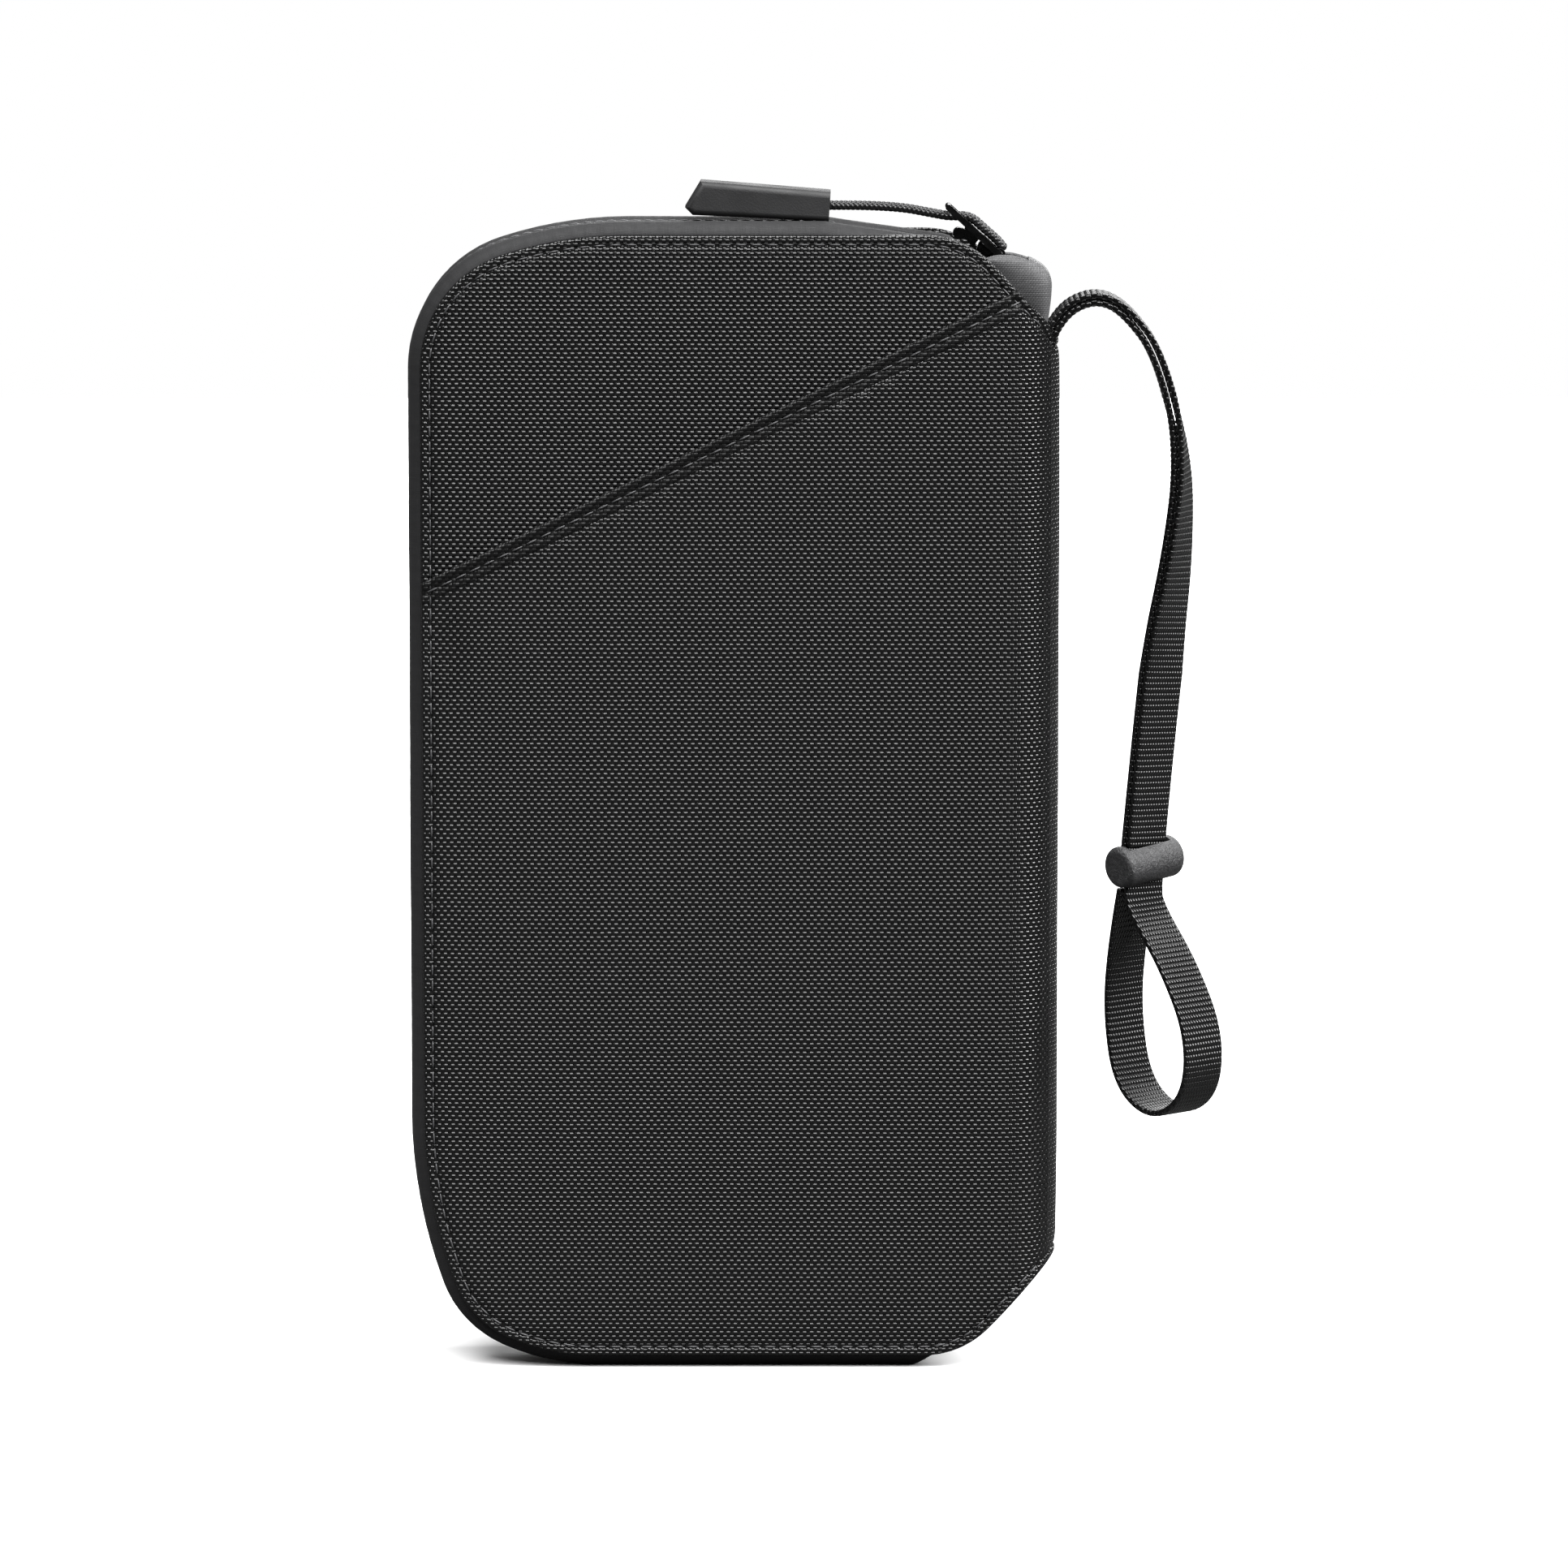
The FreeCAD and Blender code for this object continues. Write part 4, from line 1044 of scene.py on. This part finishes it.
def make_lock_cover(metal):
    pin = np.array(JOINTS["puller_hinge"]["pos_m"])
    along = np.array(JOINTS["zip_run"]["axis"])
    outward = np.array([along[2], 0, -along[0]])
    loop = np.array([pin + (along * a + outward * n) * MM for a, n in LOCK_OUTLINE])[:, [0, 2]]
    cover = slab("lock_cover", loop, -LOCK_HALF, LOCK_HALF, 0.6 * MM, 0.12, 0, 0.3 * MM)
    finish_piece(cover, metal, (), "zip_slider")


# ---- materials
def rgba(color):
    """A colour from (red and green, blue) or (red, green, blue)."""
    return (color[0], color[-2], color[-1], 1)


class Surface:
    """A material and short ways to add nodes to it."""

    def __init__(self, name, color, roughness, metallic=0.0, sheen=0.0, specular=0.5):
        self.material = bpy.data.materials.new(name)
        self.material.use_nodes = True
        self.tree = self.material.node_tree
        self.shader = self.tree.nodes["Principled BSDF"]
        self.shader.inputs["Base Color"].default_value = rgba(color)
        self.shader.inputs["Roughness"].default_value = roughness
        self.shader.inputs["Metallic"].default_value = metallic
        self.shader.inputs["Sheen Weight"].default_value = sheen
        self.shader.inputs["Sheen Roughness"].default_value = 0.45
        self.shader.inputs["Specular IOR Level"].default_value = specular

    def node(self, kind, **inputs):
        made = self.tree.nodes.new(kind)
        for key, value in inputs.items():
            self.put(made.inputs[key.replace("_", " ")], value)
        return made

    def put(self, socket, value):
        if isinstance(value, bpy.types.NodeSocket):
            self.tree.links.new(value, socket)
        else:
            socket.default_value = value

    def math(self, operation, *values):
        made = self.node("ShaderNodeMath")
        made.operation = operation
        for socket, value in zip(made.inputs, values):
            self.put(socket, value)
        return made.outputs[0]

    def times(self, a, b):
        return self.math("MULTIPLY", a, b)

    def cubed(self, value):
        return self.times(self.times(value, value), value)

    def size(self, value):
        return self.math("ABSOLUTE", value)

    def centred(self, value):
        """Where in its cell a value lies, from -1 to 1."""
        return self.math("MULTIPLY_ADD", self.math("FRACT", value), 2.0, -1.0)

    def map(self, value, a, b, to_a, to_b):
        made = self.node(
            "ShaderNodeMapRange", Value=value, From_Min=a, From_Max=b, To_Min=to_a, To_Max=to_b
        )
        made.interpolation_type = "SMOOTHSTEP"
        return made.outputs[0]

    def mix(self, factor, a, b):
        """a where factor is 0, b where it is 1, for plain numbers."""
        made = self.node("ShaderNodeMix")
        made.data_type = "FLOAT"
        for key, value in ((0, factor), (2, a), (3, b)):
            self.put(made.inputs[key], value)
        return made.outputs[0]

    def noise(self, scale, detail=2.0, where=None, rough=0.5):
        made = self.node("ShaderNodeTexNoise", Scale=scale, Detail=detail, Roughness=rough)
        self.put(made.inputs["Vector"], where or self.node("ShaderNodeTexCoord").outputs["Object"])
        return made.outputs["Fac"]

    def uv(self):
        made = self.node("ShaderNodeUVMap")
        made.uv_map = "cloth"
        split = self.node("ShaderNodeSeparateXYZ", Vector=made.outputs[0])
        return split.outputs[0], split.outputs[1]

    def vector(self, x, y, z=0.0):
        return self.node("ShaderNodeCombineXYZ", X=x, Y=y, Z=z).outputs[0]

    def color_between(self, factor, low, high):
        ramp = self.node("ShaderNodeValToRGB", Fac=factor)
        ramp.color_ramp.elements[0].color = rgba(low)
        ramp.color_ramp.elements[1].color = rgba(high)
        self.put(self.shader.inputs["Base Color"], ramp.outputs[0])

    def normal_from(self, nx, ny):
        """Tangent-space normal with these slopes across u and v."""
        square = self.math("ADD", self.times(nx, nx), self.times(ny, ny))
        nz = self.math("SQRT", self.math("SUBTRACT", 1.0, self.math("MINIMUM", square, 0.9)))
        half = [self.math("MULTIPLY_ADD", v, 0.5, 0.5) for v in (nx, ny, nz)]
        made = self.node("ShaderNodeNormalMap", Color=self.vector(*half))
        made.uv_map = "cloth"
        self.put(self.shader.inputs["Normal"], made.outputs[0])

    def rough(self, noise, low, high):
        self.put(self.shader.inputs["Roughness"], self.map(noise, 0.3, 0.7, low, high))

    def bump(self, height, distance, strength):
        made = self.node("ShaderNodeBump", Height=height, Distance=distance, Strength=strength)
        self.put(self.shader.inputs["Normal"], made.outputs[0])


def plain_weave(name, u_pitch, v_pitch, color, painted_gap_shade, roughness, weft=0.78, warp=0.6, **extra):
    """Plain weave of round yarns: u_pitch and v_pitch are the cells' width and height in metres."""
    cloth = Surface(name, color, roughness, **extra)
    drift = cloth.noise(260.0, 1.0)
    u, v = (
        cloth.math("DIVIDE", cloth.math("MULTIPLY_ADD", drift, pitch * 0.2, a), pitch)
        for a, pitch in zip(cloth.uv(), (u_pitch, v_pitch))
    )
    u_cell, v_cell = cloth.math("FLOOR", u), cloth.math("FLOOR", v)
    parity = cloth.math("FLOORED_MODULO", cloth.math("ADD", u_cell, v_cell), 2.0)
    fu, fv = cloth.centred(u), cloth.centred(v)
    row_noise = cloth.noise(0.9, 1.0, cloth.vector(cloth.times(u, 0.11), v_cell))
    column_noise = cloth.noise(0.9, 1.0, cloth.vector(u_cell, cloth.times(v, 0.11), 7.0))
    nx = cloth.mix(parity, cloth.times(cloth.cubed(fu), 0.4), cloth.times(fu, warp))
    ny = cloth.mix(parity, cloth.times(fv, weft), cloth.times(cloth.cubed(fv), 0.3))
    tilt = cloth.math("MULTIPLY_ADD", row_noise, 0.2, -0.1)
    cloth.normal_from(nx, cloth.math("ADD", ny, tilt))
    # Painted shade: the colour darkens from the middle of each float towards the gaps round it.
    across = cloth.map(cloth.mix(parity, cloth.size(fv), cloth.size(fu)), 0.72, 1.0, 0.0, 1.0)
    end = cloth.map(cloth.mix(parity, cloth.size(fu), cloth.size(fv)), 0.78, 1.0, 0.0, 0.9)
    lit = cloth.math("SUBTRACT", 1.0, cloth.math("MAXIMUM", across, end))
    yarn = cloth.mix(parity, row_noise, column_noise)
    cloth.color_between(cloth.times(cloth.map(yarn, 0.3, 0.7, 0.55, 1.0), lit), painted_gap_shade, color)
    cloth.rough(yarn, roughness + 0.08, roughness - 0.06)
    return cloth.material


def make_webbing():
    """Ribbed webbing: every rib is a row of short floats, staggered from rib to rib."""
    web = Surface("webbing", (0.008, 0.0083), 0.24)
    u, v = web.uv()
    u = web.math("DIVIDE", u, RIB_PITCH)
    row = web.math("FLOOR", u)
    stagger = web.times(web.math("FLOORED_MODULO", row, 2.0), 0.5)
    v = web.math("ADD", web.math("DIVIDE", v, DOT_PITCH), stagger)
    fu, fv = web.centred(u), web.centred(v)
    nx = web.math("ADD", web.times(fu, 0.25), web.times(web.cubed(fu), 0.35))
    web.normal_from(nx, web.times(fv, 0.85))
    across = web.map(web.size(fu), 0.7, 1.0, 0.0, 1.0)
    gap = web.math("MAXIMUM", across, web.map(web.size(fv), 0.35, 0.85, 0.0, 1.0))
    yarn = web.noise(0.8, 1.0, web.vector(row, web.times(v, 0.4)))
    # Painted shade: the colour darkens into the gaps between the floats and between the ribs.
    lit = web.math("SUBTRACT", 1.0, gap)
    shade = web.times(web.map(yarn, 0.3, 0.7, 0.5, 1.0), lit)
    web.color_between(shade, (0.0005, 0.0005), (0.004, 0.0042))
    web.put(web.shader.inputs["Roughness"], web.map(gap, 0.0, 1.0, 0.14, 0.42))
    return web.material


def grained(name, color, roughness, grain, shades, gloss=None, **extra):
    """A material with a fine grain.

    grain is the noise scale, detail and roughness, then the bump's depth and strength. shades is a
    noise scale with the darkest and lightest colour, gloss one with the roughness's two ends.
    """
    made = Surface(name, color, roughness, **extra)
    scale, detail, rough, depth, strength = grain
    made.bump(made.noise(scale, detail, rough=rough), depth, strength)
    made.color_between(made.noise(shades[0]), *shades[1:])
    if gloss:
        made.rough(made.noise(*gloss[0]), *gloss[1:])
    return made.material


def make_foam():
    foam = Surface("foam", (0.06, 0.06), 0.85)
    where = foam.node("ShaderNodeTexCoord").outputs["Object"]
    cells = foam.node("ShaderNodeTexVoronoi", Scale=1400.0, Vector=where).outputs["Distance"]
    foam.bump(cells, 0.0002, 0.7)
    foam.color_between(cells, (0.04, 0.04), (0.08, 0.08))
    return foam.material


# ---- CAD nodes that stay
def dress_node(node, material, bevel):
    piece = NODES[node]
    piece.data.materials.clear()
    piece.data.materials.append(material)
    joined = piece.modifiers.new("weld", "WELD")
    joined.merge_threshold = 0.002 * MM
    edge = piece.modifiers.new("edge", "BEVEL")
    edge.width = bevel
    edge.segments = 2
    edge.limit_method = "ANGLE"
    edge.angle_limit = math.radians(35)
    edge.harden_normals = True


def direction(azimuth, elevation):
    """Direction out from the pouch, from degrees; azimuth 0 is the camera's side."""
    a, e = math.radians(azimuth), math.radians(elevation)
    return Vector((math.sin(a) * math.cos(e), -math.cos(a) * math.cos(e), math.sin(e)))


def sun(name, energy, azimuth, elevation, spread):
    """A broad light that shines at the pouch from this direction."""
    lamp = bpy.data.lights.new(name, "SUN")
    lamp.energy = energy
    lamp.angle = math.radians(spread)
    way = direction(azimuth, elevation)
    add_object(name, lamp).rotation_euler = way.to_track_quat("Z", "Y").to_euler()


def make_floor_paint():
    """White paper to the camera that throws little light back on the pouch."""
    paper = Surface("floor", (0.92, 0.92), 0.9, specular=0.0)
    path = paper.node("ShaderNodeLightPath")
    paper.color_between(path.outputs["Is Camera Ray"], (0.07, 0.07), (0.92, 0.92))
    return paper.material


AMBIENT = 0.04               # the white surroundings are brighter to the camera than to the pouch


def make_studio():
    world = bpy.data.worlds.new("studio")
    world.use_nodes = True
    bpy.context.scene.world = world
    tree = world.node_tree
    path = tree.nodes.new("ShaderNodeLightPath")
    mix = tree.nodes.new("ShaderNodeMixShader")
    tree.links.new(path.outputs["Is Camera Ray"], mix.inputs[0])
    for socket, strength in ((1, AMBIENT), (2, 1.0)):
        white = tree.nodes.new("ShaderNodeBackground")
        white.inputs["Color"].default_value = (1, 1, 1, 1)
        white.inputs["Strength"].default_value = strength
        tree.links.new(white.outputs[0], mix.inputs[socket])
    tree.links.new(mix.outputs[0], tree.nodes["World Output"].inputs["Surface"])
    bpy.context.scene.view_settings.view_transform = "Standard"
    sun("key", 6.2, -6, 63, 56)
    sun("right", 6.5, 74, 40, 40)
    sun("left", 0.15, -108, 20, 40)
    sun("back", 1.6, 165, 25, 40)
    corners = [(-2, -2, 0), (2, -2, 0), (2, 2, 0), (-2, 2, 0)]
    floor = new_piece("floor", corners, [(0, 1, 2, 3)])
    floor.data.materials.append(make_floor_paint())


CAMERA_ELEVATION = 8
CAMERA_DISTANCE = 1.7165
CAMERA_AIM = Vector((0.0099, 0, 0.1151))
CAMERA_LENS = 200


def make_camera():
    data = bpy.data.cameras.new("camera")
    data.lens = CAMERA_LENS
    camera = add_object("camera", data)
    back = direction(0, CAMERA_ELEVATION)
    camera.location = CAMERA_AIM + back * CAMERA_DISTANCE
    camera.rotation_euler = back.to_track_quat("Z", "Y").to_euler()
    bpy.context.scene.camera = camera


# ---- build the looks
make_camera()
make_studio()

# Each weave's second colour is the painted shade in the gaps between its yarns.
weave = plain_weave(
    "shell_weave", 0.685 * MM, 0.85 * MM, (0.0045, 0.0047), (0.0005, 0.0005), 0.22,
    weft=0.86, warp=0.72,
)
# The turned hem is pressed flat and shows less of the yarns' shine.
pressed = plain_weave(
    "pressed_weave", 0.685 * MM, 0.85 * MM, (0.006, 0.0062), (0.001, 0.001), 0.38,
    weft=0.62, warp=0.55, specular=0.28,
)
fine = plain_weave(
    "fine_weave", 0.30 * MM, 0.42 * MM, (0.060, 0.062), (0.024, 0.025), 0.55,
    weft=0.35, warp=0.45, sheen=0.15,
)
tape = plain_weave(
    "zip_tape", 0.22 * MM, 0.26 * MM, (0.022, 0.023), (0.011, 0.0115), 0.6,
    weft=0.35, warp=0.35, sheen=0.04, specular=0.25,
)
lining = plain_weave(
    "lining", 0.24 * MM, 0.28 * MM, (0.12, 0.125, 0.135), (0.06, 0.062, 0.067), 0.6,
    weft=0.4, warp=0.4, sheen=0.15,
)
elastic = plain_weave(
    "elastic", 0.45 * MM, 0.3 * MM, (0.035, 0.036), (0.010, 0.010), 0.6,
    weft=0.5, warp=0.5, sheen=0.2,
)
thread = grained(
    "thread", (0.05, 0.052), 0.36, (2600.0, 2.0, 0.5, 0.00012, 0.8),
    (900.0, (0.02, 0.021), (0.075, 0.078)), sheen=0.1,
)
nylon = grained(
    "coil_nylon", (0.03, 0.032), 0.34, (1800.0, 2.0, 0.5, 0.00003, 0.4),
    (300.0, (0.018, 0.019), (0.035, 0.037)),
)
braid = grained(
    "cord", (0.012, 0.0125), 0.34, (3000.0, 2.0, 0.5, 0.00012, 0.8),
    (900.0, (0.004, 0.0043), (0.020, 0.021)), sheen=0.05,
)
metal = grained(
    "black_metal", (0.03, 0.032), 0.26, (1500.0, 2.0, 0.5, 0.00002, 0.35),
    (500.0, (0.020, 0.0205), (0.045, 0.046)), ((700.0, 3.0), 0.20, 0.34),
    metallic=1.0,
)
rubber = grained(
    "pull_rubber", (0.03, 0.031), 0.62, (3200.0, 3.0, 0.5, 0.00009, 0.5),
    (420.0, (0.008, 0.0084), (0.016, 0.0168)), ((150.0,), 0.56, 0.68),
)
frosted = grained(
    "barrel_plastic", (0.02, 0.021), 0.36, (1700.0, 4.0, 0.7, 0.0004, 0.9),
    (1200.0, (0.006, 0.0063), (0.06, 0.062)),
)
foam = make_foam()
strap_weave = make_webbing()

make_covers(weave)
make_hem(pressed, thread)
make_edge_stitches(thread)
FRONT_BASE = band_base(flat_outline("front_panel", UPPER_FRONT))
BACK_BASE = band_base(flat_outline("back_panel", BACK))
make_band("front", -1, FRONT_BASE, tape, thread)
make_band("back", 1, BACK_BASE, tape, thread)
make_coil("front", -1, FRONT_BASE, nylon)
make_coil("back", 1, BACK_BASE, nylon)
make_garage(fine)
make_end_tab(fine)
make_lining("front_lining_cloth", lining, -1, ["front_lining"])
make_lining("back_lining_cloth", lining, 1, ["back_lining", "spine_lining"])
make_boards(foam)
make_pockets(lining, elastic, thread)
make_pen_loop(elastic)
make_strap(strap_weave)
make_anchor(strap_weave)
make_pull_cord(braid)
make_lock_cover(metal)

for node, bevel in (
    ("slider_body", 0.25), ("slider_bridge", 0.15), ("puller_frame", 0.28), ("puller_cam", 0.2),
    ("back_top_stop", 0.1), ("front_top_stop", 0.1),
):
    dress_node(node, metal, bevel * MM)
dress_node("pull_tab", rubber, 0.3 * MM)
dress_node("barrel_slider", frosted, 0.25 * MM)
